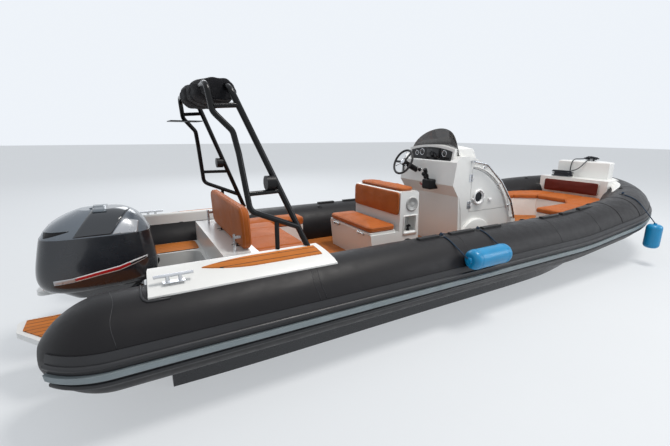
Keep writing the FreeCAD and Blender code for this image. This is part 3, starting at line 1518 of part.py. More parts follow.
COWL_SKIRT = [
    # z, front x, aft x, half width, squareness
    (size.cowl_bottom, -20, -752, 214, 3.2),
    (size.cowl_bottom + 42, 14, -806, 244, 3.4),
    (size.cowl_bottom + 120, 30, -828, 264, 3.6),
    (size.cowl_bottom + 280, 18, -806, 268, 3.8),
    (size.cowl_crease, -4, -768, 266, 3.8),
]
COWL_HEAD = [
    (size.cowl_crease, -8, -764, 262, 3.8),
    (size.cowl_crease + 70, -42, -716, 236, 3.4),
    (size.cowl_crease + 135, -96, -622, 186, 3.0),
    (size.cowl_top, -190, -500, 104, 2.6),
]
skirt = Part.makeLoft([cowl_section(*row) for row in COWL_SKIRT], True, False)
head = Part.makeLoft([cowl_section(*row) for row in COWL_HEAD], True, False)
inlet = side_profile([
    (-900, size.cowl_crease + 6),
    (-900, size.cowl_crease + 46),
    (-640, size.cowl_crease + 18),
    (-612, size.cowl_crease + 6),
]).extrude(Y_AXIS * 300).translated(-Y_AXIS * 150)
vent = block((-420, -310), (-45, 45), (size.cowl_crease + 140, size.cowl_top + 10))
vent = vent.makeFillet(8, [edge for edge in vent.Edges if edge.BoundBox.ZMin > size.cowl_crease + 141])
cowl = fused([skirt, head.cut(inlet), vent])
feature("cowl", cowl)

# Propeller: hub and three blades
propeller_x = GEARCASE_AFT - size.moving_gap - 1
HUB_LENGTH = 140
hub = Part.makeCylinder(52, HUB_LENGTH, Vector(propeller_x - HUB_LENGTH, 0, size.gearcase_height), X_AXIS)
blades = []
PITCH = 420
BLADE_SECTIONS = [
    # radius, chord, thickness, skew
    (44, 92, 13, 0),
    (95, 124, 9, 4),
    (140, 118, 6, 14),
    (size.propeller_radius - 4, 60, 4, 30),
]


def blade_section(radius, chord, thickness, skew):
    """A lens-shaped section of a blade, turned to the helix at its radius."""
    lens = outline_wire([
        (-chord / 2, 0),
        ((0, thickness / 2), (chord / 2, 0)),
        ((0, -thickness / 2), (-chord / 2, 0)),
    ], lambda a, b: Vector(b, a + skew, radius))
    twist = math.degrees(math.atan2(PITCH, 2 * math.pi * radius))
    return lens.rotated(Vector(0, 0, radius), Z_AXIS, twist)


for blade_angle in (0, 120, 240):
    blade = Part.makeLoft([blade_section(*row) for row in BLADE_SECTIONS], True, False)
    blade = blade.rotated(Vector(0, 0, 0), X_AXIS, blade_angle)
    blades.append(blade.translated(Vector(propeller_x - 65, 0, size.gearcase_height)))
propeller_bore = Part.makeCylinder(PROP_SHAFT_RADIUS + size.running_gap, 3 * HUB_LENGTH,
                                   Vector(propeller_x - 2 * HUB_LENGTH, 0, size.gearcase_height),
                                   X_AXIS)
feature("propeller", fused([hub] + blades).cut(propeller_bore))


# Check every object, then write each sub-part
doc.recompute()
for item in doc.Objects:
    if "Invalid" in item.State or "Error" in item.State:
        raise RuntimeError("%s did not compute" % item.Label)
os.makedirs("parts", exist_ok=True)
for item in subparts:
    shape = item.Shape
    if shape.isNull() or not shape.isValid() or not shape.Solids:
        raise RuntimeError("%s has no valid solid" % item.Label)
    shape.exportStep(os.path.join("parts", item.Label + ".step"))
    print("%-22s solids %d volume %.4f m3" % (item.Label, len(shape.Solids), shape.Volume / 1e9))
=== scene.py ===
"""Looks of a rigid inflatable boat, laid out as an add-on. Metres, in the frame of the CAD."""

import math

import bmesh
import bpy
from bpy.props import FloatProperty, FloatVectorProperty, PointerProperty
from mathutils import Matrix, Vector, noise
from mathutils.bvhtree import BVHTree


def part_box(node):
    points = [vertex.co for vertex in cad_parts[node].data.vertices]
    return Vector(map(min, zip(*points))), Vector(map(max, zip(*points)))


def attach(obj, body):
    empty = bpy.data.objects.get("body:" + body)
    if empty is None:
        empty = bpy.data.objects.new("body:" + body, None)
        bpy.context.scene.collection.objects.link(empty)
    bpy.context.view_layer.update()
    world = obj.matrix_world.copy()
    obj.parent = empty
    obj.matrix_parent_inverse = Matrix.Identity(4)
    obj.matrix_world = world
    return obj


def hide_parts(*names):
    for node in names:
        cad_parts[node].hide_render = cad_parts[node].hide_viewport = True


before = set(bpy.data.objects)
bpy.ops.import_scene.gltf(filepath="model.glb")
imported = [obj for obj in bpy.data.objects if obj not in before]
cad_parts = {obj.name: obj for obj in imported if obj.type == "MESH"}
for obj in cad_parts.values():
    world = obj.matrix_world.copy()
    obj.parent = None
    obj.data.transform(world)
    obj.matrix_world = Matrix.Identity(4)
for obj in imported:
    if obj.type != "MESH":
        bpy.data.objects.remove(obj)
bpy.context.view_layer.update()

bl_info = {
    "name": "Inflatable boat",
    "version": (1, 0, 0),
    "blender": (4, 5, 0),
    "location": "View3D > Sidebar > Boat",
    "description": "Builds the looks of a rigid inflatable boat around its CAD model",
    "category": "Object",
}

X_AXIS = Vector((1, 0, 0))
Y_AXIS = Vector((0, 1, 0))
Z_AXIS = Vector((0, 0, 1))


# Sizes and colours

def length(value, label, description):
    """A size in metres that the panel shows."""
    return FloatProperty(name=label, description=description, default=value, min=0.0, precision=4,
                         unit="LENGTH")


def colour(value, label, description):
    """A colour that the panel shows, with linear channels."""
    return FloatVectorProperty(name=label, description=description, default=value, size=3, min=0.0, max=1.0,
                               subtype="COLOR")


class BoatSizes(bpy.types.PropertyGroup):
    """Driving sizes of the pieces."""

    tube_radius: length(0.306, "Tube radius", "Radius of the inflatable tube's section")
    tube_spread: length(1.04, "Tube spread", "Distance of the tube's axis from the centreline")
    tube_rise: length(0.514, "Tube rise", "Height of the tube's axis above the water, aft")
    tape_width: length(0.032, "Tape width", "Width of the tapes over the tube's seams")
    tape_lift: length(0.002, "Tape thickness", "Thickness of the tapes over the tube's seams")
    piping: length(0.0042, "Piping radius", "Radius of the piping round the cushions")
    plank: length(0.055, "Plank width", "Width of a teak plank")
    caulk: length(0.005, "Caulking width", "Width of the dark joint between two planks")


class BoatColours(bpy.types.PropertyGroup):
    """Base colours of the materials."""

    tube: colour((0.0090, 0.0082, 0.0092), "Tubes", "Coated fabric of the tubes")
    tape: colour((0.01125, 0.01025, 0.0115), "Seam tapes", "Tapes over the tubes' seams")
    band: colour((0.014, 0.014, 0.016), "Rubbing band", "Rubber band round the tubes")
    strip: colour((0.22, 0.26, 0.275), "Rubbing strip", "Flat strip between the strakes")
    gelcoat: colour((0.78, 0.78, 0.76), "Gelcoat", "White mouldings")
    # Painted shade: the gelcoat darkened to 0.55 of its colour, used for the speaker's grille
    shade: colour((0.429, 0.429, 0.418), "Grey mouldings", "The speaker's grille")
    hull: colour((0.020, 0.021, 0.025), "Hull", "Paint of the rigid hull")
    teak: colour((0.54, 0.17, 0.030), "Teak", "Planks of the pads and platforms")
    caulking: colour((0.035, 0.025, 0.02), "Caulking", "Joints between the planks")
    sole: colour((0.44, 0.14, 0.030), "Deck sole", "Planks of the deck")
    cushion: colour((0.42, 0.110, 0.020), "Cushions", "Upholstery of the seats")
    bow_back: colour((0.105, 0.016, 0.010), "Bow backrest", "Upholstery of the bow backrest")
    piping: colour((0.8, 0.78, 0.72), "Pale piping", "Piping of the bow backrest")
    steel: colour((0.62, 0.63, 0.65), "Steel", "Polished fittings")
    black: colour((0.008, 0.008, 0.009), "Black pieces", "Black plastic and painted metal")
    bar: colour((0.0035, 0.0035, 0.004), "Roll bar", "Paint of the roll bar")
    grip: colour((0.011, 0.011, 0.012), "Grips", "Rubber of the wheel's rim and the hand grips")
    panel: colour((0.006, 0.006, 0.008), "Dash panel", "Glossy panel with the gauges")
    glass: colour((0.030, 0.022, 0.018), "Screen", "Smoked glass of the windscreen")
    dark_glass: colour((0.004, 0.006, 0.010), "Porthole", "Glass of the door's porthole")
    rope: colour((0.014, 0.018, 0.026), "Mooring rope", "Rope on the bow locker")
    line: colour((0.010, 0.035, 0.075), "Fender lines", "Thin lines of the fenders")
    cover: colour((0.007, 0.007, 0.009), "Canopy cover", "Cloth of the folded canopy's cover")
    fender: colour((0.003, 0.225, 0.46), "Fenders", "Vinyl of the fenders")
    leg: colour((0.020, 0.022, 0.027), "Motor leg", "Paint of the motor's leg")
    cowl_low: colour((0.018, 0.021, 0.027), "Cowl, lower part", "Paint below the cowl's crease")
    cowl_top: colour((0.105, 0.125, 0.150), "Cowl, upper part", "Paint above the cowl's crease")
    cowl_gloss: colour((0.010, 0.013, 0.018), "Cowl band", "Glossy band over the cowl")
    cowl_grey: colour((0.115, 0.135, 0.155), "Cowl vent", "Vent and inlet lips of the cowl")
    silver: colour((0.45, 0.46, 0.48), "Silver", "Stripe ends and facets of the cowl")
    red: colour((0.45, 0.012, 0.015), "Red", "Red of the cowl's stripe and the stop switch")
    white: colour((0.8, 0.8, 0.8), "White", "White of the cowl's stripe and small fittings")
    floor: colour((0.72, 0.74, 0.76), "Floor", "Studio floor")


def sizes():
    """The sizes that the panel shows."""
    return bpy.context.scene.boat_sizes


def colours():
    """The colours that the panel shows."""
    return bpy.context.scene.boat_colours


# Helpers for nodes

class Graph:
    """Short calls that add and join the nodes of one tree."""

    def __init__(self, tree):
        self.tree = tree

    def add(self, kind, settings=None, **inputs):
        """A new node; its settings and inputs go by name."""
        node = self.tree.nodes.new("ShaderNode" + kind)
        for key, value in (settings or {}).items():
            setattr(node, key, value)
        for key, value in inputs.items():
            self.put(node, key.replace("_", " "), value)
        return node

    def put(self, node, key, value):
        """Links an output to an input, or sets the input's value."""
        socket = node.inputs[int(key[5:])] if key.startswith("input") else node.inputs[key]
        if isinstance(value, bpy.types.NodeSocket):
            self.tree.links.new(value, socket)
        elif socket.type == "RGBA" and len(value) == 3:
            socket.default_value = (*value, 1.0)
        else:
            socket.default_value = value

    def math(self, operation, first, second=0.0, third=0.0):
        """One sum of up to three values."""
        node = self.add("Math", {"operation": operation}, input0=first, input1=second, input2=third)
        return node.outputs[0]

    def ramp(self, value, low, high, low_out=0.0, high_out=1.0):
        """A value moved from one range to another, and held within it."""
        node = self.add("MapRange", {"clamp": True}, Value=value)
        for key, number in (("From Min", low), ("From Max", high),
                            ("To Min", low_out), ("To Max", high_out)):
            self.put(node, key, number)
        return node.outputs[0]

    def mix(self, factor, first, second):
        """A colour between two others."""
        node = self.add("Mix", {"data_type": "RGBA"})
        for index, value in ((0, factor), (6, first), (7, second)):
            self.put(node, "input%d" % index, value)
        return node.outputs[2]

    def place(self):
        """Coordinates in the frame, in metres."""
        return self.add("TexCoord").outputs["Object"]

    def noise(self, scale, detail=3.0, vector=None):
        """Uneven values between 0 and 1."""
        node = self.add("TexNoise", Scale=scale, Detail=detail)
        if vector is not None:
            self.put(node, "Vector", vector)
        return node.outputs["Fac"]


def new_group(name, inputs, outputs):
    """A node group with named sockets, each a name, kind and value."""
    group = bpy.data.node_groups.new(name, "ShaderNodeTree")
    for label, kind, value in inputs:
        socket = group.interface.new_socket(name=label, in_out="INPUT", socket_type="NodeSocket" + kind)
        if value is not None:
            socket.default_value = value
    for label, kind in outputs:
        group.interface.new_socket(name=label, in_out="OUTPUT", socket_type="NodeSocket" + kind)
    graph = Graph(group)
    source = group.nodes.new("NodeGroupInput")
    sink = group.nodes.new("NodeGroupOutput")
    return group, graph, source, sink


def mottle_group():
    """Uneven colour at two scales, and the height that goes with it."""
    group, graph, source, sink = new_group("Mottle", [
        ("Colour", "Color", (0.5, 0.5, 0.5, 1)),
        ("Amount", "Float", 0.2),
        ("Scale", "Float", 6.0),
    ], [("Colour", "Color"), ("Height", "Float")])
    place = graph.place()
    coarse = graph.noise(source.outputs["Scale"], 4.0, place)
    fine = graph.noise(180.0, 2.0, place)
    blend = graph.math("ADD", graph.math("MULTIPLY", coarse, 0.75), graph.math("MULTIPLY", fine, 0.25))
    swing = graph.math("MULTIPLY", graph.math("SUBTRACT", blend, 0.5), source.outputs["Amount"])
    factor = graph.math("ADD", graph.math("MULTIPLY", swing, 2.0), 1.0)
    scaled = graph.add("VectorMath", {"operation": "SCALE"}, input0=source.outputs["Colour"], Scale=factor)
    group.links.new(scaled.outputs[0], sink.inputs["Colour"])
    group.links.new(fine, sink.inputs["Height"])
    return group


def planks_group():
    """Planks that lie side by side across Y, with dark caulking between them."""
    group, graph, source, sink = new_group("Planks", [
        ("Wood", "Color", (0.4, 0.2, 0.1, 1)),
        ("Caulk", "Color", (0.02, 0.02, 0.02, 1)),
        ("Width", "Float", 0.055),
        ("Gap", "Float", 0.005),
    ], [("Colour", "Color"), ("Height", "Float")])
    parts = graph.add("SeparateXYZ", Vector=graph.place())
    across = graph.math("DIVIDE", parts.outputs["Y"], source.outputs["Width"])
    number = graph.math("FLOOR", across)
    inside = graph.math("MULTIPLY", graph.math("FRACT", across), source.outputs["Width"])
    is_wood = graph.math("GREATER_THAN", inside, source.outputs["Gap"])
    tone = graph.add("TexWhiteNoise", {"noise_dimensions": "1D"}, W=number)
    stretched = graph.add("VectorMath", {"operation": "MULTIPLY"}, input0=graph.place(),
                          input1=(3.0, 60.0, 10.0))
    fibre = graph.noise(3.0, 6.0, stretched.outputs[0])
    shade = graph.math("ADD", graph.math("MULTIPLY", tone.outputs["Value"], 0.3),
                       graph.math("MULTIPLY", fibre, 0.7))
    factor = graph.math("ADD", graph.math("MULTIPLY", shade, 0.7), 0.62)
    scaled = graph.add("VectorMath", {"operation": "SCALE"}, input0=source.outputs["Wood"], Scale=factor)
    wood = graph.mix(is_wood, source.outputs["Caulk"], scaled.outputs[0])
    group.links.new(wood, sink.inputs["Colour"])
    height = graph.math("ADD", is_wood, graph.math("MULTIPLY", fibre, 0.2))
    group.links.new(height, sink.inputs["Height"])
    return group


def weave_group():
    """Threads that cross, as a height."""
    group, graph, source, sink = new_group("Weave", [("Threads", "Float", 500.0)], [("Height", "Float")])
    parts = graph.add("SeparateXYZ", Vector=graph.place())
    diagonal = graph.math("ADD", parts.outputs["X"], parts.outputs["Z"])
    one = graph.math("SINE", graph.math("MULTIPLY", diagonal, source.outputs["Threads"]))
    other = graph.math("ADD", parts.outputs["Y"], graph.math("MULTIPLY", parts.outputs["Z"], 0.7))
    two = graph.math("SINE", graph.math("MULTIPLY", other, source.outputs["Threads"]))
    group.links.new(graph.math("MULTIPLY", one, two), sink.inputs["Height"])
    return group


def grain_group():
    """The pebbled grain of upholstery, as a height."""
    group, graph, source, sink = new_group("Grain", [("Scale", "Float", 260.0)], [("Height", "Float")])
    cells = graph.add("TexVoronoi", {"feature": "DISTANCE_TO_EDGE"}, Vector=graph.place())
    group.links.new(source.outputs["Scale"], cells.inputs["Scale"])
    edge = graph.ramp(cells.outputs["Distance"], 0.0, 0.12)
    soft = graph.noise(35.0, 3.0, graph.place())
    group.links.new(graph.math("ADD", edge, graph.math("MULTIPLY", soft, 0.8)), sink.inputs["Height"])
    return group


GROUPS = {"Mottle": mottle_group, "Planks": planks_group, "Weave": weave_group, "Grain": grain_group}


def group_node(graph, name, **inputs):
    """A node that uses one of the groups, which is made at its first use."""
    group = bpy.data.node_groups.get(name) or GROUPS[name]()
    node = graph.tree.nodes.new("ShaderNodeGroup")
    node.node_tree = group
    for key, value in inputs.items():
        graph.put(node, key, value)
    return node


def new_material(name):
    """A material with one glossy shader, and its graph."""
    material = bpy.data.materials.new(name)
    material.use_nodes = True
    material.node_tree.nodes.clear()
    graph = Graph(material.node_tree)
    shader = graph.add("BsdfPrincipled")
    graph.add("OutputMaterial", Surface=shader.outputs[0])
    return material, graph, shader


def finish_material(graph, shader, base, roughness, height=None, depth=0.0, **more):
    """Sets the shader's base, roughness and bump, and any other socket by name."""
    graph.put(shader, "Base Color", base)
    graph.put(shader, "Roughness", roughness)
    for key, value in more.items():
        graph.put(shader, key.replace("_", " "), value)
    if height is not None:
        bump = graph.add("Bump", Height=height, Distance=depth, Strength=1.0)
        graph.put(shader, "Normal", bump.outputs[0])


def mottled(name, base, amount, scale, roughness, depth=0.0002, **more):
    """A moulded or painted surface with slightly uneven colour and sheen."""
    material, graph, shader = new_material(name)
    spots = group_node(graph, "Mottle", Colour=base, Amount=amount, Scale=scale)
    uneven = graph.ramp(graph.noise(9.0, 4.0, graph.place()), 0.3, 0.7, 0.85 * roughness, 1.15 * roughness)
    finish_material(graph, shader, spots.outputs["Colour"], uneven, spots.outputs["Height"], depth, **more)
    return material


def fabric_material(name, base, threads, roughness, depth, amount=0.25, sheen=0.0):
    """A coated or woven cloth."""
    material, graph, shader = new_material(name)
    spots = group_node(graph, "Mottle", Colour=base, Amount=amount, Scale=5.0)
    weave = group_node(graph, "Weave", Threads=threads)
    dust = graph.ramp(graph.noise(14.0, 6.0, graph.place()), 0.35, 0.75, roughness, roughness * 1.35)
    finish_material(graph, shader, spots.outputs["Colour"], dust, weave.outputs["Height"], depth,
                    Sheen_Weight=sheen, Specular_IOR_Level=0.22)
    return material


def leather_material(name, base, roughness):
    """Upholstery with a pebbled grain and worn tones."""
    material, graph, shader = new_material(name)
    spots = group_node(graph, "Mottle", Colour=base, Amount=0.35, Scale=7.0)
    grain = group_node(graph, "Grain", Scale=300.0)
    worn = graph.ramp(graph.noise(4.0, 5.0, graph.place()), 0.3, 0.8, roughness * 0.85, roughness * 1.25)
    finish_material(graph, shader, spots.outputs["Colour"], worn, grain.outputs["Height"], 0.0005,
                    Specular_IOR_Level=0.16)
    return material


def planked_material(name, wood, roughness):
    """Teak planks with caulking."""
    material, graph, shader = new_material(name)
    planks = group_node(graph, "Planks", Wood=wood, Caulk=colours().caulking,
                        Width=sizes().plank, Gap=sizes().caulk)
    finish_material(graph, shader, planks.outputs["Colour"], roughness, planks.outputs["Height"], 0.0012,
                    Specular_IOR_Level=0.14)
    return material


def metal_material(name, base, roughness):
    """Polished or brushed metal with faint smears."""
    material, graph, shader = new_material(name)
    smear = graph.ramp(graph.noise(25.0, 5.0, graph.place()), 0.3, 0.7, roughness * 0.7, roughness * 1.4)
    spots = group_node(graph, "Mottle", Colour=base, Amount=0.08, Scale=20.0)
    finish_material(graph, shader, spots.outputs["Colour"], smear, Metallic=1.0)
    return material


def glass_material(name, tint, clearness):
    """Smoked glass that lets some light through."""
    material, graph, shader = new_material(name)
    spots = group_node(graph, "Mottle", Colour=tint, Amount=0.2, Scale=4.0)
    facing = graph.add("LayerWeight", Blend=0.35)
    opacity = graph.ramp(facing.outputs["Facing"], 0.0, 1.0, 1.0 - clearness, 1.0)
    finish_material(graph, shader, spots.outputs["Colour"], 0.08, Alpha=opacity, IOR=1.5)
    return material


def gelcoat_material(name, base):
    """White gelcoat with a clear coat, a little chalky in places."""
    material, graph, shader = new_material(name)
    spots = group_node(graph, "Mottle", Colour=base, Amount=0.03, Scale=2.5)
    chalk = graph.ramp(graph.noise(6.0, 6.0, graph.place()), 0.35, 0.75, 0.30, 0.36)
    finish_material(graph, shader, spots.outputs["Colour"], chalk, Coat_Weight=0.3, Coat_Roughness=0.15)
    return material


ROPE_STRANDS = 900.0     # radians per metre along the slant


def rope_material(name, base):
    """Laid rope whose strands show as slanting bands."""
    material, graph, shader = new_material(name)
    parts = graph.add("SeparateXYZ", Vector=graph.place())
    slant = graph.math("ADD", graph.math("ADD", parts.outputs["X"], parts.outputs["Y"]), parts.outputs["Z"])
    strands = graph.math("SINE", graph.math("MULTIPLY", slant, ROPE_STRANDS))
    spots = group_node(graph, "Mottle", Colour=base, Amount=0.5, Scale=60.0)
    finish_material(graph, shader, spots.outputs["Colour"], 0.7, strands, 0.0015)
    return material


def seen_rays(graph):
    """1 for the rays that show the background: the camera's, and those in gloss and glass."""
    path = graph.add("LightPath")
    seen = graph.math("MAXIMUM", path.outputs["Is Camera Ray"], path.outputs["Is Glossy Ray"])
    return graph.math("MAXIMUM", seen, path.outputs["Is Transmission Ray"])


FLOOR_GLOW = (0.84, 0.87, 0.90)
FLOOR_GLOW_SHARE = 0.5


def floor_material(name, base):
    """A pale floor that is seen evenly lit and that keeps the shadow."""
    material = mottled(name, base, amount=0.03, scale=0.6, roughness=0.75)
    graph = Graph(material.node_tree)
    output = next(node for node in graph.tree.nodes if node.type == "OUTPUT_MATERIAL")
    shader = output.inputs["Surface"].links[0].from_socket
    glow = graph.add("Emission", Color=FLOOR_GLOW, Strength=1.0)
    seen = graph.math("MULTIPLY", seen_rays(graph), FLOOR_GLOW_SHARE)
    mixed = graph.add("MixShader", input0=seen, input1=shader, input2=glow.outputs[0])
    graph.put(output, "Surface", mixed.outputs[0])
    return material


COWL_CREASE = 1.0015


def cowl_material(name, low):
    """Charcoal paint below the crease, metallic grey above it."""
    material, graph, shader = new_material(name)
    parts = graph.add("SeparateXYZ", Vector=graph.place())
    above = graph.ramp(parts.outputs["Z"], COWL_CREASE - 0.001, COWL_CREASE + 0.001)
    spots = group_node(graph, "Mottle", Colour=graph.mix(above, low, colours().cowl_top), Amount=0.15,
                       Scale=5.0)
    uneven = graph.ramp(graph.noise(9.0, 4.0, graph.place()), 0.3, 0.7, 0.20, 0.30)
    finish_material(graph, shader, spots.outputs["Colour"], uneven, Coat_Weight=0.6, Coat_Roughness=0.08)
    return material


MATERIALS = {
    # maker, name of the colour, settings
    "tube": (fabric_material, "tube", dict(threads=900.0, roughness=0.38, depth=0.00012, sheen=0.04)),
    "tape": (fabric_material, "tape", dict(threads=900.0, roughness=0.46, depth=0.00012)),
    "cover": (fabric_material, "cover", dict(threads=2200.0, roughness=0.75, depth=0.0004, amount=0.4,
                                             sheen=0.06)),
    "strip": (mottled, "strip", dict(amount=0.25, scale=8.0, roughness=0.5)),
    "band": (mottled, "band", dict(amount=0.3, scale=9.0, roughness=0.42, depth=0.0001)),
    "grip": (mottled, "grip", dict(amount=0.3, scale=60.0, roughness=0.62, depth=0.0006)),
    "gelcoat": (gelcoat_material, "gelcoat", {}),
    # Painted shade: the gelcoat made with the darkened colour above
    "shade": (gelcoat_material, "shade", {}),
    "hull": (mottled, "hull", dict(amount=0.25, scale=3.0, roughness=0.28, depth=0.00005, Coat_Weight=0.5,
                                   Coat_Roughness=0.1)),
    "teak": (planked_material, "teak", dict(roughness=0.55)),
    "sole": (planked_material, "sole", dict(roughness=0.6)),
    "cushion": (leather_material, "cushion", dict(roughness=0.48)),
    "bow_back": (leather_material, "bow_back", dict(roughness=0.4)),
    "piping": (mottled, "piping", dict(amount=0.2, scale=30.0, roughness=0.5)),
    "orange_piping": (mottled, "cushion", dict(amount=0.2, scale=30.0, roughness=0.5)),
    "steel": (metal_material, "steel", dict(roughness=0.22)),
    "black_steel": (mottled, "black", dict(amount=0.4, scale=12.0, roughness=0.35, Specular_IOR_Level=0.2)),
    "black": (mottled, "black", dict(amount=0.3, scale=30.0, roughness=0.42, Specular_IOR_Level=0.2)),
    "bar": (mottled, "bar", dict(amount=0.3, scale=12.0, roughness=0.22, depth=0.0, Coat_Weight=0.1,
                                 Specular_IOR_Level=0.2)),
    "panel": (mottled, "panel", dict(amount=0.2, scale=10.0, roughness=0.12, depth=0.0)),
    "glass": (glass_material, "glass", dict(clearness=0.32)),
    "dark_glass": (mottled, "dark_glass", dict(amount=0.2, scale=8.0, roughness=0.22, depth=0.0,
                                               Specular_IOR_Level=0.25)),
    "rope": (rope_material, "rope", {}),
    "line": (rope_material, "line", {}),
    "fender": (mottled, "fender", dict(amount=0.18, scale=9.0, roughness=0.34, depth=0.0001)),
    "leg": (mottled, "leg", dict(amount=0.25, scale=4.0, roughness=0.22, depth=0.0, Coat_Weight=0.6,
                                 Coat_Roughness=0.08)),
    "cowl": (cowl_material, "cowl_low", {}),
    "cowl_gloss": (mottled, "cowl_gloss", dict(amount=0.2, scale=6.0, roughness=0.10, depth=0.0,
                                               Coat_Weight=0.8, Coat_Roughness=0.04)),
    "cowl_grey": (mottled, "cowl_grey", dict(amount=0.15, scale=6.0, roughness=0.28, depth=0.0,
                                             Metallic=0.3, Coat_Weight=0.6)),
    "silver": (mottled, "silver", dict(amount=0.1, scale=6.0, roughness=0.3, depth=0.0, Metallic=0.5,
                                       Coat_Weight=0.5)),
    "red": (mottled, "red", dict(amount=0.1, scale=9.0, roughness=0.25, depth=0.0)),
    "white": (mottled, "white", dict(amount=0.05, scale=9.0, roughness=0.25, depth=0.0)),
    "floor": (floor_material, "floor", {}),
}


def material(key):
    """One of the materials, made at its first use."""
    name = "boat_" + key
    if name in bpy.data.materials:
        return bpy.data.materials[name]
    maker, base, settings = MATERIALS[key]
    return maker(name, getattr(colours(), base), **settings)


# Helpers for meshes

def add_piece(name, mesh, finish, body, replaces=()):
    """Links a mesh as a piece that rides on a body."""
    piece = bpy.data.objects.new(name, mesh)
    bpy.context.scene.collection.objects.link(piece)
    mesh.materials.append(material(finish))
    mesh.shade_smooth()
    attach(piece, body)
    if replaces:
        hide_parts(*replaces)
    return piece


def mesh_from(name, vertices, faces):
    """A mesh from points and faces, with its normals outward."""
    mesh = bpy.data.meshes.new(name)
    mesh.from_pydata([tuple(v) for v in vertices], [], faces)
    form = bmesh.new()
    form.from_mesh(mesh)
    bmesh.ops.remove_doubles(form, verts=form.verts, dist=1e-6)
    bmesh.ops.recalc_face_normals(form, faces=form.faces)
    form.to_mesh(mesh)
    form.free()
    return mesh


def grid_mesh(name, rows, close_rows=False, close_columns=False, caps=False):
    """A mesh over rows of points of equal length."""
    count, width = len(rows), len(rows[0])
    vertices = [point for row in rows for point in row]
    faces = []
    for i in range(count if close_rows else count - 1):
        for j in range(width if close_columns else width - 1):
            a, b = i * width + j, i * width + (j + 1) % width
            c = ((i + 1) % count) * width + (j + 1) % width
            faces.append((a, b, c, ((i + 1) % count) * width + j))
    if caps:
        faces.append(tuple(range(width - 1, -1, -1)))
        faces.append(tuple(range((count - 1) * width, count * width)))
    return mesh_from(name, vertices, faces)


def joined(name, meshes):
    """One mesh from several."""
    form = bmesh.new()
    for mesh in meshes:
        form.from_mesh(mesh)
        bpy.data.meshes.remove(mesh)
    result = bpy.data.meshes.new(name)
    form.to_mesh(result)
    form.free()
    return result


def add_joined(name, meshes, finish, body):
    """Links several meshes as one piece."""
    return add_piece(name, joined(name, meshes), finish, body)


def circle_points(centre, across, up, radius, count):
    """Points round a circle."""
    angles = [math.radians(360.0 * i / count) for i in range(count)]
    return [centre + across * (radius * math.cos(a)) + up * (radius * math.sin(a)) for a in angles]


def rod(start, end, radius, count=16, end_radius=None):
    """A round bar between two points."""
    start, end = Vector(start), Vector(end)
    along = (end - start).normalized()
    across = along.orthogonal().normalized()
    up = along.cross(across)
    last = radius if end_radius is None else end_radius
    rows = [circle_points(start, across, up, radius, count), circle_points(end, across, up, last, count)]
    return grid_mesh("rod", rows, close_columns=True, caps=True)


def lathe(profile, start, along, count=32):
    """A turned form: pairs of distance along an axis and radius."""
    along = Vector(along).normalized()
    across = along.orthogonal().normalized()
    up = along.cross(across)
    rows = [circle_points(Vector(start) + along * place, across, up, max(radius, 1e-4), count)
            for place, radius in profile]
    return grid_mesh("lathe", rows, close_columns=True, caps=True)


def ring(centre, axis, radius, thickness, count=48, section=12):
    """A torus about an axis."""
    axis = Vector(axis).normalized()
    across = axis.orthogonal().normalized()
    up = axis.cross(across)
    rows = []
    for point in circle_points(Vector((0, 0, 0)), across, up, 1.0, count):
        rows.append(circle_points(Vector(centre) + point * radius, point, axis, thickness, section))
    return grid_mesh("ring", rows, close_rows=True, close_columns=True)


def tube_mesh(points, radius, section=10, closed=False):
    """A thin tube along points, with its section carried without twist."""
    points = [Vector(p) for p in points]
    count = len(points)
    rows = []
    across = None
    for i, point in enumerate(points):
        before = points[i - 1] if i or closed else point
        after = points[(i + 1) % count] if i < count - 1 or closed else point
        along = (after - before).normalized()
        if across is None:
            across = along.orthogonal().normalized()
        across = (across - along * across.dot(along)).normalized()
        rows.append(circle_points(point, across, along.cross(across), radius, section))
    return grid_mesh("tube", rows, close_rows=closed, close_columns=True, caps=not closed)


def box_mesh(low, high, bevel=0.0, segments=2):
    """A box between two corners, with its edges rounded."""
    form = bmesh.new()
    bmesh.ops.create_cube(form, size=1.0)
    low, high = Vector(low), Vector(high)
    middle = (low + high) / 2
    extent = high - low
    for vertex in form.verts:
        vertex.co = Vector(a * b for a, b in zip(vertex.co, extent)) + middle
    if bevel:
        bmesh.ops.bevel(form, geom=form.edges[:], offset=bevel, segments=segments, profile=0.5,
                        affect="EDGES", clamp_overlap=True)
    mesh = bpy.data.meshes.new("box")
    form.to_mesh(mesh)
    form.free()
    return mesh


def plate_mesh(outline, lift, bevel=0.0):
    """A plate from a flat outline, raised by a vector."""
    form = bmesh.new()
    vertices = [form.verts.new(point) for point in outline]
    face = form.faces.new(vertices)
    grown = bmesh.ops.extrude_face_region(form, geom=[face])
    moved = [item for item in grown["geom"] if isinstance(item, bmesh.types.BMVert)]
    bmesh.ops.translate(form, verts=moved, vec=Vector(lift))
    bmesh.ops.recalc_face_normals(form, faces=form.faces)
    if bevel:
        bmesh.ops.bevel(form, geom=form.edges[:], offset=bevel, segments=2, profile=0.5, affect="EDGES")
    mesh = bpy.data.meshes.new("plate")
    form.to_mesh(mesh)
    form.free()
    return mesh


def rounded_outline(low, high, radius, steps=6):
    """Corner arcs of a rectangle in a plane, as pairs."""
    corners = [(high[0] - radius, high[1] - radius, 0), (low[0] + radius, high[1] - radius, 90),
               (low[0] + radius, low[1] + radius, 180), (high[0] - radius, low[1] + radius, 270)]
    points = []
    for x, y, start in corners:
        for i in range(steps + 1):
            angle = math.radians(start + 90 * i / steps)
            points.append((x + radius * math.cos(angle), y + radius * math.sin(angle)))
    return points


# The tube's own path: straight, sheer bend, straight, shoulder and bow

SHEER_START = 4.36
SHEER_RADIUS = 6.0
SHEER_ANGLE = math.radians(5.1)
SHEER_RUN = 0.81
SHOULDER_RADIUS = 2.075
SHOULDER_ANGLE = math.radians(49)


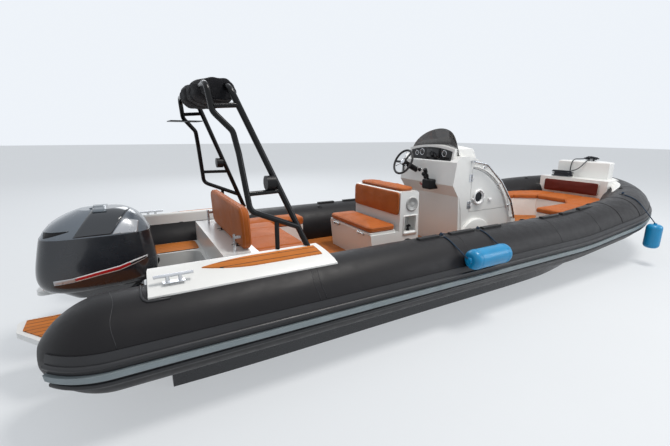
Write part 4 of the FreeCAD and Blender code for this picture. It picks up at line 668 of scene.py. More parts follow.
def tube_frame(station):
    """Axis point, outward and upward directions of the starboard tube at a path length from x = 0."""
    point = Vector((min(station, SHEER_START), -sizes().tube_spread, sizes().tube_rise))
    rest = station - SHEER_START
    if rest <= 0:
        return point, -Y_AXIS, Z_AXIS
    turn = min(rest / SHEER_RADIUS, SHEER_ANGLE)
    point = point + Vector((math.sin(turn), 0, 1 - math.cos(turn))) * SHEER_RADIUS
    forward = Vector((math.cos(turn), 0, math.sin(turn)))
    up = Vector((-math.sin(turn), 0, math.cos(turn)))
    rest -= SHEER_RADIUS * SHEER_ANGLE
    if rest <= 0:
        return point, -Y_AXIS, up
    point = point + forward * min(rest, SHEER_RUN)
    rest -= SHEER_RUN
    if rest <= 0:
        return point, -Y_AXIS, up
    turn = min(rest / SHOULDER_RADIUS, SHOULDER_ANGLE)
    point = point + (forward * math.sin(turn) + Y_AXIS * (1 - math.cos(turn))) * SHOULDER_RADIUS
    outward = forward * math.sin(turn) - Y_AXIS * math.cos(turn)
    rest -= SHOULDER_RADIUS * SHOULDER_ANGLE
    if rest <= 0:
        return point, outward, up
    radius = -point.y / math.cos(SHOULDER_ANGLE)
    more = min(rest / radius, math.pi / 2 - SHOULDER_ANGLE)
    centre = point - outward * radius
    outward = forward * math.sin(turn + more) - Y_AXIS * math.cos(turn + more)
    return centre + outward * radius, outward, up


def skin_point(station, angle, lift=0.0):
    """A point on the starboard tube's skin, by its path length and its angle above level."""
    point, outward, up = tube_frame(station)
    reach = sizes().tube_radius + lift
    return point + outward * (reach * math.cos(math.radians(angle))) + up * (
        reach * math.sin(math.radians(angle)))


SKIN_GAP = 0.0001


def skin_patch(name, stations, angles, lift, steps):
    """A thin patch glued on the tube between two path lengths and two angles."""
    rows = []
    for i in range(steps[0] + 1):
        station = stations[0] + (stations[1] - stations[0]) * i / steps[0]
        top = [skin_point(station, angles[0] + (angles[1] - angles[0]) * j / steps[1], lift)
               for j in range(steps[1] + 1)]
        foot = [skin_point(station, angles[0] + (angles[1] - angles[0]) * j / steps[1], SKIN_GAP)
                for j in range(steps[1], -1, -1)]
        rows.append(top + foot)
    return grid_mesh(name, rows, close_columns=True, caps=True)


def flipped(mesh):
    """The same mesh on the other side of the centreline."""
    copy = mesh.copy()
    copy.transform(Matrix.Scale(-1, 4, Y_AXIS))
    copy.flip_normals()
    return copy


def both_sides(mesh):
    """The mesh and its mirror image."""
    return [mesh, flipped(mesh)]


# Cushions: crowned forms over a convex outline in a plane of their own

class Plane:
    """A flat frame: an origin and three directions, the last of which is up from the base."""

    def __init__(self, origin, across, along, up):
        self.origin, self.across, self.along, self.up = (Vector(v) for v in (origin, across, along, up))

    def at(self, u, v, w=0.0):
        """The point at three distances from the origin."""
        return self.origin + self.across * u + self.along * v + self.up * w


def resampled(outline, step):
    """Points at even steps round a closed outline."""
    points = []
    for first, second in zip(outline, outline[1:] + outline[:1]):
        span = math.dist(first, second)
        count = max(1, round(span / step))
        for i in range(count):
            share = i / count
            points.append((first[0] + (second[0] - first[0]) * share,
                           first[1] + (second[1] - first[1]) * share))
    return points


def rounded_corners(outline, radius, steps=5):
    """The outline with each corner cut by a curve."""
    result = []
    count = len(outline)
    for i, corner in enumerate(outline):
        corner = Vector(corner)
        before, after = Vector(outline[i - 1]), Vector(outline[(i + 1) % count])
        reach = min(radius, 0.45 * (before - corner).length, 0.45 * (after - corner).length)
        start = corner + (before - corner).normalized() * reach
        end = corner + (after - corner).normalized() * reach
        for j in range(steps + 1):
            t = j / steps
            result.append(tuple(start * (1 - t) ** 2 + corner * (2 * t * (1 - t)) + end * t ** 2))
    return result


def inset(outline, distance):
    """The outline moved inwards, for outlines that run counterclockwise."""
    moved = []
    count = len(outline)
    for i in range(count):
        before, here, after = (Vector(outline[k]) for k in (i - 1, i, (i + 1) % count))
        along = (after - before).normalized()
        moved.append(tuple(here + Vector((-along.y, along.x)) * distance))
    return moved


def cushion_height(u, v, top, crown, share, seed, edge):
    """Height of a cushion's upper face: its crown, and the slack of the cloth."""
    slack = noise.noise(Vector((u * 7, v * 7, seed))) * 0.004 + noise.noise(
        Vector((u * 26, v * 26, seed + 9))) * 0.0012
    return top - edge + crown * (1 - share ** 2.4) + slack * (1 - share ** 6)


def cushion_mesh(plane, outline, thickness, crown=0.02, edge=0.022, step=0.018, seed=1.0):
    """A closed, crowned cushion over a convex outline, with soft edges."""
    outline = resampled(outline, step)
    middle = Vector((sum(p[0] for p in outline), sum(p[1] for p in outline))) / len(outline)
    rows = []

    def ring_at(points, height):
        rows.append([plane.at(u, v, height(u, v)) for u, v in points])

    for share in (0.02, 0.5, 0.9):
        inner = [tuple(middle + (Vector(p) - middle) * share) for p in inset(outline, edge)]
        ring_at(inner, lambda u, v: 0.0)
    for angle in (-90, -60, -30, 0):
        turn = math.radians(angle)
        ring_at(inset(outline, edge * (1 - math.cos(turn))), lambda u, v, t=turn: edge * (1 + math.sin(t)))
    for k in (0.35, 0.65):
        ring_at(inset(outline, -0.003 * math.sin(math.pi * k)),
                lambda u, v, k=k: edge + (thickness - crown - 2 * edge) * k)
    top = thickness - crown
    for angle in (0, 25, 50, 75):
        turn = math.radians(angle)
        ring_at(inset(outline, edge * (1 - math.cos(turn))),
                lambda u, v, t=turn: top - edge + edge * math.sin(t))
    inner = inset(outline, edge)
    for i in range(16):
        share = 1 - i / 15 * 0.985
        points = [tuple(middle + (Vector(p) - middle) * share) for p in inner]
        ring_at(points, lambda u, v, s=share: cushion_height(u, v, top + edge, crown, s, seed, edge))
    return grid_mesh("cushion", rows, close_columns=True, caps=True)


def piping_mesh(plane, outline, height, radius, out=0.0):
    """A cord sewn round a cushion at one height."""
    points = [plane.at(u, v, height) for u, v in resampled(inset(outline, -out), 0.02)]
    return tube_mesh(points, radius, 8, closed=True)


def make_cushion(name, plane, outline, thickness, body, replaced=(), finish="cushion", piping="orange_piping",
                 crown=0.02, edge=0.022, corner=0.04, seed=1.0, fill=0.75, slot="cushion", lines=()):
    """A cushion with its piping and sewn lines."""
    rounded = rounded_corners(outline, corner)
    mesh = cushion_mesh(plane, rounded, thickness, crown, edge, seed=seed)
    top = thickness - crown
    cords = [piping_mesh(plane, rounded, height, sizes().piping, -0.002)
             for height in (edge * 0.75, top - edge * 0.75)]
    for start, end in lines:
        points = []
        for i in range(25):
            t = i / 24
            u = start[0] + (end[0] - start[0]) * t
            v = start[1] + (end[1] - start[1]) * t
            points.append(plane.at(u, v, seam_height(rounded, u, v, top, crown, edge, seed)))
        cords.append(tube_mesh(points, 0.0032, 8))
    piece = add_piece(name, mesh, finish, body, replaced)
    trim = add_joined(name + "_piping", cords, piping, body)
    return piece, trim


def seam_height(outline, u, v, top, crown, edge, seed):
    """Height of the cushion's upper face at a point, for seams that lie on it."""
    middle = Vector((sum(p[0] for p in outline), sum(p[1] for p in outline))) / len(outline)
    here = Vector((u, v)) - middle
    reach = 0.0
    inner = inset(outline, edge)
    for first, second in zip(inner, inner[1:] + inner[:1]):
        a, b = Vector(first) - middle, Vector(second) - middle
        normal = Vector((b.y - a.y, a.x - b.x))
        gap = normal.dot(a)
        if gap > 1e-9:
            reach = max(reach, normal.dot(here) / gap)
    share = min(1.0, max(0.0, reach))
    return cushion_height(u, v, top + edge, crown, share, seed, edge)


def rectangle(low, high):
    """The corners between two pairs."""
    return [(low[0], low[1]), (high[0], low[1]), (high[0], high[1]), (low[0], high[1])]


# Operators: the stage and the looks of the CAD nodes

CAMERA_PLACE = (-0.108, -3.521, 1.788)
CAMERA_AZIMUTH = math.radians(-29.37)
CAMERA_PITCH = math.radians(13.81)
CAMERA_ROLL = math.radians(0.3)
CAMERA_LENS = 19.62
FLOOR_REACH = 60
LIGHTS = [
    # name, place, target, diameter, power, colour
    ("key", (4.5, -3.0, 10.0), (3.6, 0, 0.5), 3.0, 720, (1.0, 0.97, 0.93)),
    ("front", (11.0, -8.0, 5.0), (4.0, 0, 0.5), 5.0, 260, (0.95, 0.97, 1.0)),
    ("back", (3.0, 10.0, 7.0), (3.0, 0, 0.5), 6.0, 300, (0.95, 0.97, 1.0)),
]
SKY = (0.86, 0.90, 0.95, 1.0)
SKY_LIGHT = 0.55


def add_light(name, place, target, size, power, tint):
    """An area light that looks at a point."""
    light = bpy.data.lights.new(name, "AREA")
    light.shape = "DISK"
    light.size = size
    light.energy = power
    light.color = tint
    item = bpy.data.objects.new(name, light)
    item.location = place
    item.rotation_euler = (Vector(target) - Vector(place)).to_track_quat("-Z", "Y").to_euler()
    bpy.context.scene.collection.objects.link(item)


def add_floor():
    """A wide floor at the height of the water."""
    corners = [(x * FLOOR_REACH, y * FLOOR_REACH, 0) for x, y in ((-1, -1), (1, -1), (1, 1), (-1, 1))]
    mesh = mesh_from("floor", corners, [(0, 1, 2, 3)])
    mesh.materials.append(material("floor"))
    floor = bpy.data.objects.new("floor", mesh)
    bpy.context.scene.collection.objects.link(floor)


def add_surroundings():
    """A pale sky, weaker as a light than as it is seen."""
    world = bpy.data.worlds.new("surroundings")
    world.use_nodes = True
    background = world.node_tree.nodes["Background"]
    background.inputs["Color"].default_value = SKY
    graph = Graph(world.node_tree)
    graph.put(background, "Strength", graph.ramp(seen_rays(graph), 0.0, 1.0, SKY_LIGHT, 1.0))
    bpy.context.scene.world = world


def add_camera():
    """The camera at the photo's viewing angle."""
    camera = bpy.data.cameras.new("camera")
    camera.lens = CAMERA_LENS
    camera.sensor_width = 36
    camera.clip_end = 200
    item = bpy.data.objects.new("camera", camera)
    turn = Matrix.Rotation(CAMERA_AZIMUTH, 4, "Z") @ Matrix.Rotation(math.pi / 2 - CAMERA_PITCH, 4, "X")
    item.matrix_world = Matrix.Translation(CAMERA_PLACE) @ turn @ Matrix.Rotation(CAMERA_ROLL, 4, "Z")
    bpy.context.scene.collection.objects.link(item)
    bpy.context.scene.camera = item


class BOAT_OT_stage(bpy.types.Operator):
    """Floor, lights, surroundings and camera."""

    bl_idname = "boat.stage"
    bl_label = "Stage"
    bl_options = {"REGISTER", "UNDO"}

    def execute(self, context):
        bpy.context.scene.view_settings.view_transform = "Standard"
        add_floor()
        for light in LIGHTS:
            add_light(*light)
        add_surroundings()
        add_camera()
        return {"FINISHED"}


FINISHES = {
    "tube": ["tubes"],
    "band": ["rub_band"],
    "strip": ["rub_strip"],
    "hull": ["hull"],
    "sole": ["deck"],
    "teak": ["teak_pads"],
    "gelcoat": ["aft_deck", "swim_platforms", "saddles", "bench", "bench_lid", "side_seat", "helm_unit",
                "helm_lid", "console", "console_door", "bow_seat", "bow_locker", "bow_flange"],
    "cushion": ["bench_cushion", "bench_backrest", "end_cushions", "helm_cushion", "helm_back_pad",
                "helm_bolster", "bow_cushions"],
    "bow_back": ["bow_backrest"],
    "cover": ["canopy_cover"],
    "steel": ["backrest_posts", "hatch_hinges", "console_fittings", "stern_cleats", "shackle_eyes"],
    "black_steel": ["bow_cleat", "clamp_bracket", "swivel_bracket", "propeller"],
    "black": ["throttle", "steering_column", "bar_fittings"],
    "bar": ["roll_bar"],
    "grip": ["steering_wheel", "hand_grips"],
    "panel": ["dash_panel"],
    "glass": ["windscreen"],
    "dark_glass": ["porthole_glass"],
    "white": ["door_fittings"],
    "fender": ["fenders"],
    "line": ["fender_lines"],
    "leg": ["leg"],
    "cowl": ["cowl"],
}


class BOAT_OT_finishes(bpy.types.Operator):
    """Materials of the CAD nodes."""

    bl_idname = "boat.finishes"
    bl_label = "Finishes"
    bl_options = {"REGISTER", "UNDO"}

    def execute(self, context):
        for key, names in FINISHES.items():
            for name in names:
                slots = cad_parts[name].data.materials
                slots.clear()
                slots.append(material(key))
        return {"FINISHED"}


# Rope: one spline from the cleat down to the coil, its turns, and back up to the cleat

ROPE_DIAMETER = 0.016
BOX_AFT = 6.87
BOX_TOP = 1.33
BAR_HEIGHT = BOX_TOP + 0.045
CLEAT_X = 7.13
COIL_BASE = 1.0503
COIL_TOP = COIL_BASE + 0.136
COIL_MIDDLE = (6.738, 0.247)
PORT_RUN = [
    (CLEAT_X - 0.008, 0.060, BAR_HEIGHT + 0.001),
    (CLEAT_X - 0.126, 0.110, BAR_HEIGHT - 0.015),
    (BOX_AFT + 0.014, 0.150, BOX_TOP + 0.038),
    (BOX_AFT - 0.036, 0.168, BOX_TOP - 0.012),
    (BOX_AFT - 0.032, 0.178, COIL_TOP + 0.054),
    (BOX_AFT - 0.026, 0.184, COIL_TOP - 0.036),
]
DESCENT = [
    (BOX_AFT - 0.023, 0.185, COIL_BASE + 0.0617),
    (BOX_AFT - 0.022, 0.192, COIL_BASE + 0.0297),
    (BOX_AFT - 0.021, 0.212, COIL_BASE + 0.0122),
    (BOX_AFT - 0.022, 0.240, COIL_BASE + 0.0090),
]
STARBOARD_RUN = [
    (CLEAT_X - 0.008, -0.038, BAR_HEIGHT - 0.023),
    (CLEAT_X - 0.122, -0.060, BAR_HEIGHT - 0.017),
    (BOX_AFT + 0.020, -0.068, BOX_TOP + 0.036),
    (BOX_AFT - 0.034, -0.046, BOX_TOP - 0.014),
    (BOX_AFT - 0.046, -0.004, COIL_TOP + 0.060),
    (BOX_AFT - 0.080, 0.034, COIL_TOP + 0.010),
    (BOX_AFT - 0.155, 0.066, COIL_TOP - 0.014),
]
COIL_TURNS = [
    # half depth, half width, shift forward, shift to port
    (0.108, 0.196, 0.000, 0.000),
    (0.084, 0.150, -0.006, -0.020),
    (0.092, 0.182, 0.002, 0.010),
    (0.078, 0.134, -0.008, -0.014),
    (0.092, 0.190, -0.002, 0.004),
    (0.080, 0.156, -0.006, 0.022),
    (0.086, 0.176, -0.004, -0.012),
]
COIL_PITCH = 0.0172
POINTS_PER_TURN = 14
COIL_START = 14.0     # degrees
COIL_END = 360.0 * 6 - 120


def coil_points():
    """Turns that climb and differ in size."""
    points = []
    steps = round((COIL_END - COIL_START) / 360 * POINTS_PER_TURN)
    for i in range(steps + 1):
        angle = COIL_START + (COIL_END - COIL_START) * i / steps
        turns = angle / 360
        first = min(int(turns), len(COIL_TURNS) - 2)
        share = turns - first
        share = share * share * (3 - 2 * share)
        depth, width, ahead, aside = (a + (b - a) * share
                                      for a, b in zip(COIL_TURNS[first], COIL_TURNS[first + 1]))
        turn = math.radians(angle)
        points.append((COIL_MIDDLE[0] + ahead + depth * math.cos(turn),
                       COIL_MIDDLE[1] + aside + width * math.sin(turn),
                       COIL_BASE + ROPE_DIAMETER / 2 + 0.001 + COIL_PITCH * turns))
    return points


def control_spline(name, points, radius):
    """A curve whose control points are those given."""
    curve = bpy.data.curves.new(name, "CURVE")
    curve.dimensions = "3D"
    curve.bevel_depth = radius
    curve.bevel_resolution = 5
    curve.resolution_u = 8
    spline = curve.splines.new("NURBS")
    spline.points.add(len(points) - 1)
    for item, point in zip(spline.points, points):
        item.co = (*point, 1.0)
    spline.order_u = 3
    spline.use_endpoint_u = True
    return curve


def add_hitch():
    """The rope's turns and crossings on the cleat's bar."""
    radius = ROPE_DIAMETER / 2 * 0.9
    centre = Vector((CLEAT_X, 0, BAR_HEIGHT))
    hitch = []
    for side, place in ((1, 0.064), (-1, 0.066), (1, 0.082), (-1, 0.085)):
        hitch.append(ring(centre + Y_AXIS * side * place, (0.25 * side, 1, 0.2), 0.020, radius, 28, 8))
    for lean in (1, -1):
        start = centre + Vector((0.020 * lean, -0.058, 0.018))
        middle = centre + Vector((0, 0, 0.024 + 0.006 * lean))
        end = centre + Vector((-0.020 * lean, 0.058, 0.020 + 0.010 * lean))
        hitch.append(tube_mesh([start, middle, end], radius, 8))
    add_joined("cleat_hitch", hitch, "rope", "boat")


class BOAT_OT_rope(bpy.types.Operator):
    """The mooring rope on the bow, and its turns round the cleat."""

    bl_idname = "boat.rope"
    bl_label = "Rope"
    bl_options = {"REGISTER", "UNDO"}

    def execute(self, context):
        points = PORT_RUN + DESCENT + coil_points() + STARBOARD_RUN[::-1]
        curve = control_spline("mooring_rope", points, ROPE_DIAMETER / 2)
        rope = bpy.data.objects.new("mooring_rope", curve)
        bpy.context.scene.collection.objects.link(rope)
        curve.materials.append(material("rope"))
        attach(rope, "boat")
        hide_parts("rope_coil", "rope_port", "rope_starboard")
        add_hitch()
        return {"FINISHED"}


# Cushions of the benches, the helm and the bow

SEAT_CLEARANCE = 0.012


def fit_to_tube(mesh, base_height):
    """Leans a cushion's wall so that it follows the tube beside it."""
    stations = [tube_frame(4.6 + 0.03 * i) for i in range(90)]
    for vertex in mesh.vertices:
        side = -1 if vertex.co.y < 0 else 1
        here = Vector((vertex.co.x, -abs(vertex.co.y)))
        point, outward, up = min(stations, key=lambda row: (row[0].xy - here).length_squared)
        away = (point.xy - here).dot(outward.xy.normalized())
        gaps = []
        for height in (base_height, vertex.co.z):
            drop = sizes().tube_radius ** 2 - (height - point.z) ** 2
            gaps.append(away - math.sqrt(max(drop, 0.0)))
        shift = (gaps[1] - gaps[0]) * math.exp(-max(gaps[0] - SEAT_CLEARANCE, 0.0) / 0.05)
        vertex.co.x += outward.x * shift
        vertex.co.y -= side * outward.y * shift


def tube_side(start, end, height, clearance, count=14):
    """Points in plan along the tube's inner skin at one height, to starboard."""
    points = []
    for i in range(count + 1):
        point, outward, up = tube_frame(start + (end - start) * i / count)
        reach = math.sqrt(sizes().tube_radius ** 2 - (height - point.z) ** 2) + clearance
        inner = point.xy - outward.xy.normalized() * reach
        points.append((inner.x, inner.y))
    return points


def level(height):
    """A level plane at a height."""
    return Plane((0, 0, height), X_AXIS, Y_AXIS, Z_AXIS)


def mirrored_outline(outline):
    """The outline on the other side, still counterclockwise."""
    return [(u, -v) for u, v in reversed(outline)]


def flat_cushion(name, node, body, margin, out, **settings):
    """A level cushion over the box of a CAD node, with two sewn lines that run forward."""
    low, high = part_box(node)
    lines = [((low.x + margin, y), (high.x - margin, y)) for y in (-out, out)]
    make_cushion(name, level(low.z), rectangle((low.x, low.y), (high.x, high.y)), high.z - low.z, body,
                 [node], lines=lines, **settings)


def upright_pad(name, node, **settings):
    """An upright pad over the box of a CAD node, which faces aft."""
    low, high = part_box(node)
    plane = Plane((high.x, 0, low.z), -Y_AXIS, Z_AXIS, -X_AXIS)
    make_cushion(name, plane, rectangle((low.y, 0), (high.y, high.z - low.z)), high.x - low.x, "boat",
                 [node], **settings)


END_SEAT_WIDTH = 0.235
END_SEAT_FRONT = 1.27
BACKREST_LEAN = 0.046     # aft for each metre up
BACKREST_HEIGHT = 0.362
BACKREST_DEPTH = 0.098
BACKREST_LINES = 0.2


class BOAT_OT_aft_cushions(bpy.types.Operator):
    """Cushions of the aft bench and its backrest."""

    bl_idname = "boat.aft_cushions"
    bl_label = "Aft cushions"
    bl_options = {"REGISTER", "UNDO"}

    def execute(self, context):
        flat_cushion("bench_seat", "bench_cushion", "bench_hatch", 0.02, 0.16, corner=0.06, seed=2)
        low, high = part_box("end_cushions")
        inner = high.y - END_SEAT_WIDTH
        seam = END_SEAT_FRONT - 0.002
        make_cushion("port_end_seat", level(low.z), rectangle((low.x, inner), (high.x, high.y)),
                     high.z - low.z, "boat", ["end_cushions"], corner=0.06, seed=3,
                     lines=[((seam, inner + 0.02), (seam, high.y - 0.02))])
        make_cushion("starboard_end_seat", level(low.z), rectangle((low.x, low.y), (END_SEAT_FRONT, -inner)),
                     high.z - low.z, "boat", ["end_cushions"], corner=0.06, seed=4)
        low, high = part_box("bench_backrest")
        lean = Vector((-BACKREST_LEAN, 0, 1)).normalized()
        plane = Plane((low.x + 0.016, 0, low.z), Y_AXIS, lean, Y_AXIS.cross(lean))
        lines = [((y, 0.03), (y, 0.33)) for y in (-BACKREST_LINES, BACKREST_LINES)]
        make_cushion("backrest", plane, rectangle((low.y, 0), (high.y, BACKREST_HEIGHT)), BACKREST_DEPTH,
                     "boat", ["bench_backrest"], corner=0.10, edge=0.026, seed=5, lines=lines)
        return {"FINISHED"}


class BOAT_OT_helm_cushions(bpy.types.Operator):
    """Cushions of the helm unit."""

    bl_idname = "boat.helm_cushions"
    bl_label = "Helm cushions"
    bl_options = {"REGISTER", "UNDO"}

    def execute(self, context):
        flat_cushion("helm_seat", "helm_cushion", "helm_hatch", 0.02, 0.18, corner=0.05, seed=6, crown=0.026)
        upright_pad("helm_back", "helm_back_pad", crown=0.010, edge=0.010, corner=0.05, seed=7)
        flat_cushion("helm_top_pad", "helm_bolster", "boat", 0.03, 0.18, crown=0.014, edge=0.020,
                     corner=0.06, seed=8)
        return {"FINISHED"}


SIDE_SEAT_START = 4.935     # path length along the tube
SIDE_SEAT_INNER = -0.449
CORNER_SEAM = 5.715
CROSS_SEAT_AFT = 6.040
CROSS_SEAT_HALF = 0.238


class BOAT_OT_bow_cushions(bpy.types.Operator):
    """Cushions of the bow seat and its backrest."""

    bl_idname = "boat.bow_cushions"
    bl_label = "Bow cushions"
    bl_options = {"REGISTER", "UNDO"}

    def execute(self, context):
        low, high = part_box("bow_cushions")
        height = high.z - low.z
        base = low.z + 0.01
        front = high.x - 0.004
        side_end = CORNER_SEAM - 0.004
        side = tube_side(SIDE_SEAT_START, side_end, base, SEAT_CLEARANCE)
        side += [(side_end, SIDE_SEAT_INNER), (low.x + 0.004, SIDE_SEAT_INNER)]
        ahead = [p for p in tube_side(CORNER_SEAM, 7.6, base, SEAT_CLEARANCE, 40) if p[0] < front - 0.002]
        corner = ahead + [(front, ahead[-1][1] + 0.004), (front, -CROSS_SEAT_HALF - 0.002),
                          (CROSS_SEAT_AFT, -CROSS_SEAT_HALF - 0.002), (CORNER_SEAM, SIDE_SEAT_INNER)]
        for label, outline, seed in (("side", side, 9), ("corner", corner, 11)):
            for name, shape in (("starboard_", outline), ("port_", mirrored_outline(outline))):
                piece, trim = make_cushion(name + label + "_seat", level(low.z), shape, height, "boat",
                                           ["bow_cushions"], corner=0.03, seed=seed)
                fit_to_tube(piece.data, base)
                fit_to_tube(trim.data, base)
                seed += 1
        cross = rectangle((CROSS_SEAT_AFT, -CROSS_SEAT_HALF), (front, CROSS_SEAT_HALF))
        make_cushion("cross_seat", level(low.z), cross, height, "boat", ["bow_cushions"], corner=0.03,
                     seed=13)
        upright_pad("bow_back", "bow_backrest", finish="bow_back", piping="piping", crown=0.012, edge=0.016,
                    slot="dark_cushion", seed=14)
        return {"FINISHED"}


# Canopy

STRAPS = [-0.52, -0.26, 0.0, 0.26, 0.52]
STRAP_HALF = 0.016
SECTION_POINTS = 48
BUNDLE_ROWS = 90
END_SHARES = (0.86, 0.516, 0.1548, 0.00774)     # of the last section, ring by ring
BUCKLE_POINT = 44     # of a section, on its aft side


def bundle_section(y, out=0.0, under_strap=False):
    """Points round the folded canopy at one place: swollen between its straps, and creased."""
    low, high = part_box("canopy_cover")
    half = high.y - 0.005
    centre_x, centre_z = (low.x + high.x) / 2, (low.z + high.z) / 2 - 0.004
    wide, tall = (high.x - low.x) / 2 - 0.006, (high.z - low.z) / 2 - 0.006
    pinch = sum(math.exp(-((y - strap) / 0.035) ** 2) for strap in STRAPS)
    swell = 0.86 + 0.16 * noise.noise(Vector((y * 2.6, 7.0, 1.0))) - 0.12 * pinch
    swell -= 0.12 * (abs(y) / half) ** 6 + 0.16 * max(0.0, y / half) ** 2
    wave = noise.noise(Vector((y * 4, 1, 1)))
    points = []
    for i in range(SECTION_POINTS):
        angle = 2 * math.pi * i / SECTION_POINTS
        cosine, sine = math.cos(angle), math.sin(angle)
        reach = swell
        if not under_strap:
            reach += 0.075 * noise.noise(Vector((cosine * 1.6, y * 5.5, 3.0 + sine * 1.6)))
            reach += 0.034 * abs(math.sin(5 * angle + 7 * y + 3 * wave)) ** 1.5 * (1 - pinch)
        reach = reach * (abs(cosine) ** 2.6 + abs(sine) ** 2.6) ** (-1 / 2.6) + out
        points.append(Vector((centre_x + wide * (reach * cosine - 0.10 * sine), y,
                              centre_z + min(tall * reach * sine, tall) - 0.012 * (1 - pinch))))
    return points


def closed_end(row):
    """Rings that shrink towards the middle of the bundle's end."""
    middle = sum(row, Vector()) / len(row)
    return [[middle + (point - middle) * share for point in row] for share in END_SHARES]


def add_bundle():
    """The folded canopy in its cover."""
    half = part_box("canopy_cover")[1].y - 0.005
    rows = [bundle_section(-half + 2 * half * i / BUNDLE_ROWS) for i in range(BUNDLE_ROWS + 1)]
    rows = closed_end(rows[0])[::-1] + rows + closed_end(rows[-1])
    mesh = grid_mesh("canopy_bundle", rows, close_columns=True, caps=True)
    piece = add_piece("canopy_bundle", mesh, "cover", "boat", ["canopy_cover"])


def add_straps():
    """Straps round the bundle, each with a buckle."""
    bands = []
    for place in STRAPS:
        outer = [bundle_section(place + d, 0.012, True) for d in (-STRAP_HALF, STRAP_HALF)]
        inner = [bundle_section(place + d, 0.0, True) for d in (STRAP_HALF, -STRAP_HALF)]
        bands.append(grid_mesh("strap", outer + inner, close_rows=True, close_columns=True))
        buckle = outer[0][BUCKLE_POINT]
        bands.append(box_mesh(buckle + Vector((-0.006, 0.0, -0.02)), buckle + Vector((0.008, 0.034, 0.02)),
                              0.003))
    add_joined("canopy_straps", bands, "black", "boat")


class BOAT_OT_canopy(bpy.types.Operator):
    """The folded canopy in its cover, with its straps."""

    bl_idname = "boat.canopy"
    bl_label = "Canopy"
    bl_options = {"REGISTER", "UNDO"}

    def execute(self, context):
        add_bundle()
        add_straps()
        return {"FINISHED"}


# Trim of the tubes

TAPE_STATIONS = (5.42, 5.87)
SEAM_STATIONS = (-0.29, 1.00, 1.05, 2.62, 4.07, 4.90, 6.72)
VALVES = ((0.35, 112), (2.15, 112), (3.9, 112), (5.32, 108), (6.6, 104))
VALVE_PROFILE = [(0, 0.034), (0.006, 0.034), (0.008, 0.031), (0.009, 0.022), (0.014, 0.021), (0.016, 0.017),
                 (0.017, 0.004)]


def add_tapes():
    """Tapes over two seams of each bow tube."""
    tapes = []
    for station in TAPE_STATIONS:
        tape = skin_patch("tape", (station, station + sizes().tape_width), (18, 150),
                          sizes().tape_lift, (2, 40))
        tapes += both_sides(tape)
    add_joined("seam_tapes", tapes, "tape", "boat")


def add_seams():
    """Lines of the other seams."""
    seams = []
    for station in SEAM_STATIONS:
        points = [skin_point(station + 0.01 * math.sin(angle / 9), angle, 0.0004)
                  for angle in range(18, 152, 4)]
        line = tube_mesh(points, 0.0022, 6)
        seams += both_sides(line)
    add_joined("seam_lines", seams, "band", "boat")


def add_valves():
    """Inflation valves on the inner side."""
    valves = []
    for station, angle in VALVES:
        point = tube_frame(station)[0]
        axis = (skin_point(station, angle) - point).normalized()
        body = lathe(VALVE_PROFILE, point + axis * (sizes().tube_radius - 0.004), axis, 28)
        valves += both_sides(body)
    add_joined("valves", valves, "black", "boat")


class BOAT_OT_tube_trim(bpy.types.Operator):
    """Seam tapes, seam lines and valves on the tubes."""

    bl_idname = "boat.tube_trim"
    bl_label = "Tube trim"
    bl_options = {"REGISTER", "UNDO"}

    def execute(self, context):
        add_tapes()
        add_seams()
        add_valves()
        return {"FINISHED"}


# Patches and trim that lie on a CAD node

def surface_of(name):
    """A search tree over the faces of a CAD node."""
    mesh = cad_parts[name].data
    return BVHTree.FromPolygons([v.co.copy() for v in mesh.vertices],
                                [tuple(face.vertices) for face in mesh.polygons])


def laid_on(tree, start, way, lift):
    """The point where a line meets a surface, lifted off it."""
    way = Vector(way).normalized()
    hit, normal, index, distance = tree.ray_cast(Vector(start), way)
    if normal.dot(way) > 0:
        normal = -normal
    return hit + normal * lift


def draped_patch(tree, rows, lift, sink=0.003):
    """A thin patch on a surface, from rows of pairs of a starting point and a direction."""
    grid = []
    for row in rows:
        top = [laid_on(tree, start, way, lift) for start, way in row]
        foot = [laid_on(tree, start, way, -sink) for start, way in reversed(row)]
        grid.append(top + foot)
    return grid_mesh("patch", grid, close_columns=True, caps=True)


def between(table, x):
    """Values of a table at x, between its rows."""
    for first, second in zip(table, table[1:]):
        if x <= second[0]:
            break
    share = (x - first[0]) / (second[0] - first[0])
    return [a + (b - a) * share for a, b in zip(first[1:], second[1:])]


def arc_through(first, middle, last, count):
    """Points of the circle through three points of a plane."""
    (ax, ay), (bx, by), (cx, cy) = first, middle, last
    d = 2 * (ax * (by - cy) + bx * (cy - ay) + cx * (ay - by))
    a, b, c = ax * ax + ay * ay, bx * bx + by * by, cx * cx + cy * cy
    x = (a * (by - cy) + b * (cy - ay) + c * (ay - by)) / d
    y = (a * (cx - bx) + b * (ax - cx) + c * (bx - ax)) / d
    radius = math.dist((x, y), first)
    start = math.atan2(ay - y, ax - x)
    turn = math.atan2(cy - y, cx - x) - start
    halfway = (math.atan2(by - y, bx - x) - start) % (2 * math.pi)
    turn %= 2 * math.pi
    if halfway > turn:
        turn -= 2 * math.pi
    return [(x + radius * math.cos(start + turn * i / count), y + radius * math.sin(start + turn * i / count))
            for i in range(count + 1)]


# Motor: stripes, bands and the inlet of its cowl

COWL_AXIS_HEIGHT = 0.93
STRIPE = [
    # x, height of the middle, half width
    (-0.706, 0.670, 0.019),
    (-0.577, 0.679, 0.0175),
    (-0.417, 0.7055, 0.018),
    (-0.255, 0.7295, 0.020),
    (-0.132, 0.7675, 0.018),
    (-0.045, 0.7905, 0.010),
]


def side_rows(start, end, low, high, steps=26):
    """Lines towards the cowl's starboard side over a share of the stripe's width."""
    rows = []
    for i in range(steps + 1):
        x = start + (end - start) * i / steps
        middle, half = between(STRIPE, x)
        rows.append([((x, -1.0, middle + half * (low + (high - low) * j / 4)), (0, 1, 0)) for j in range(5)])
    return rows


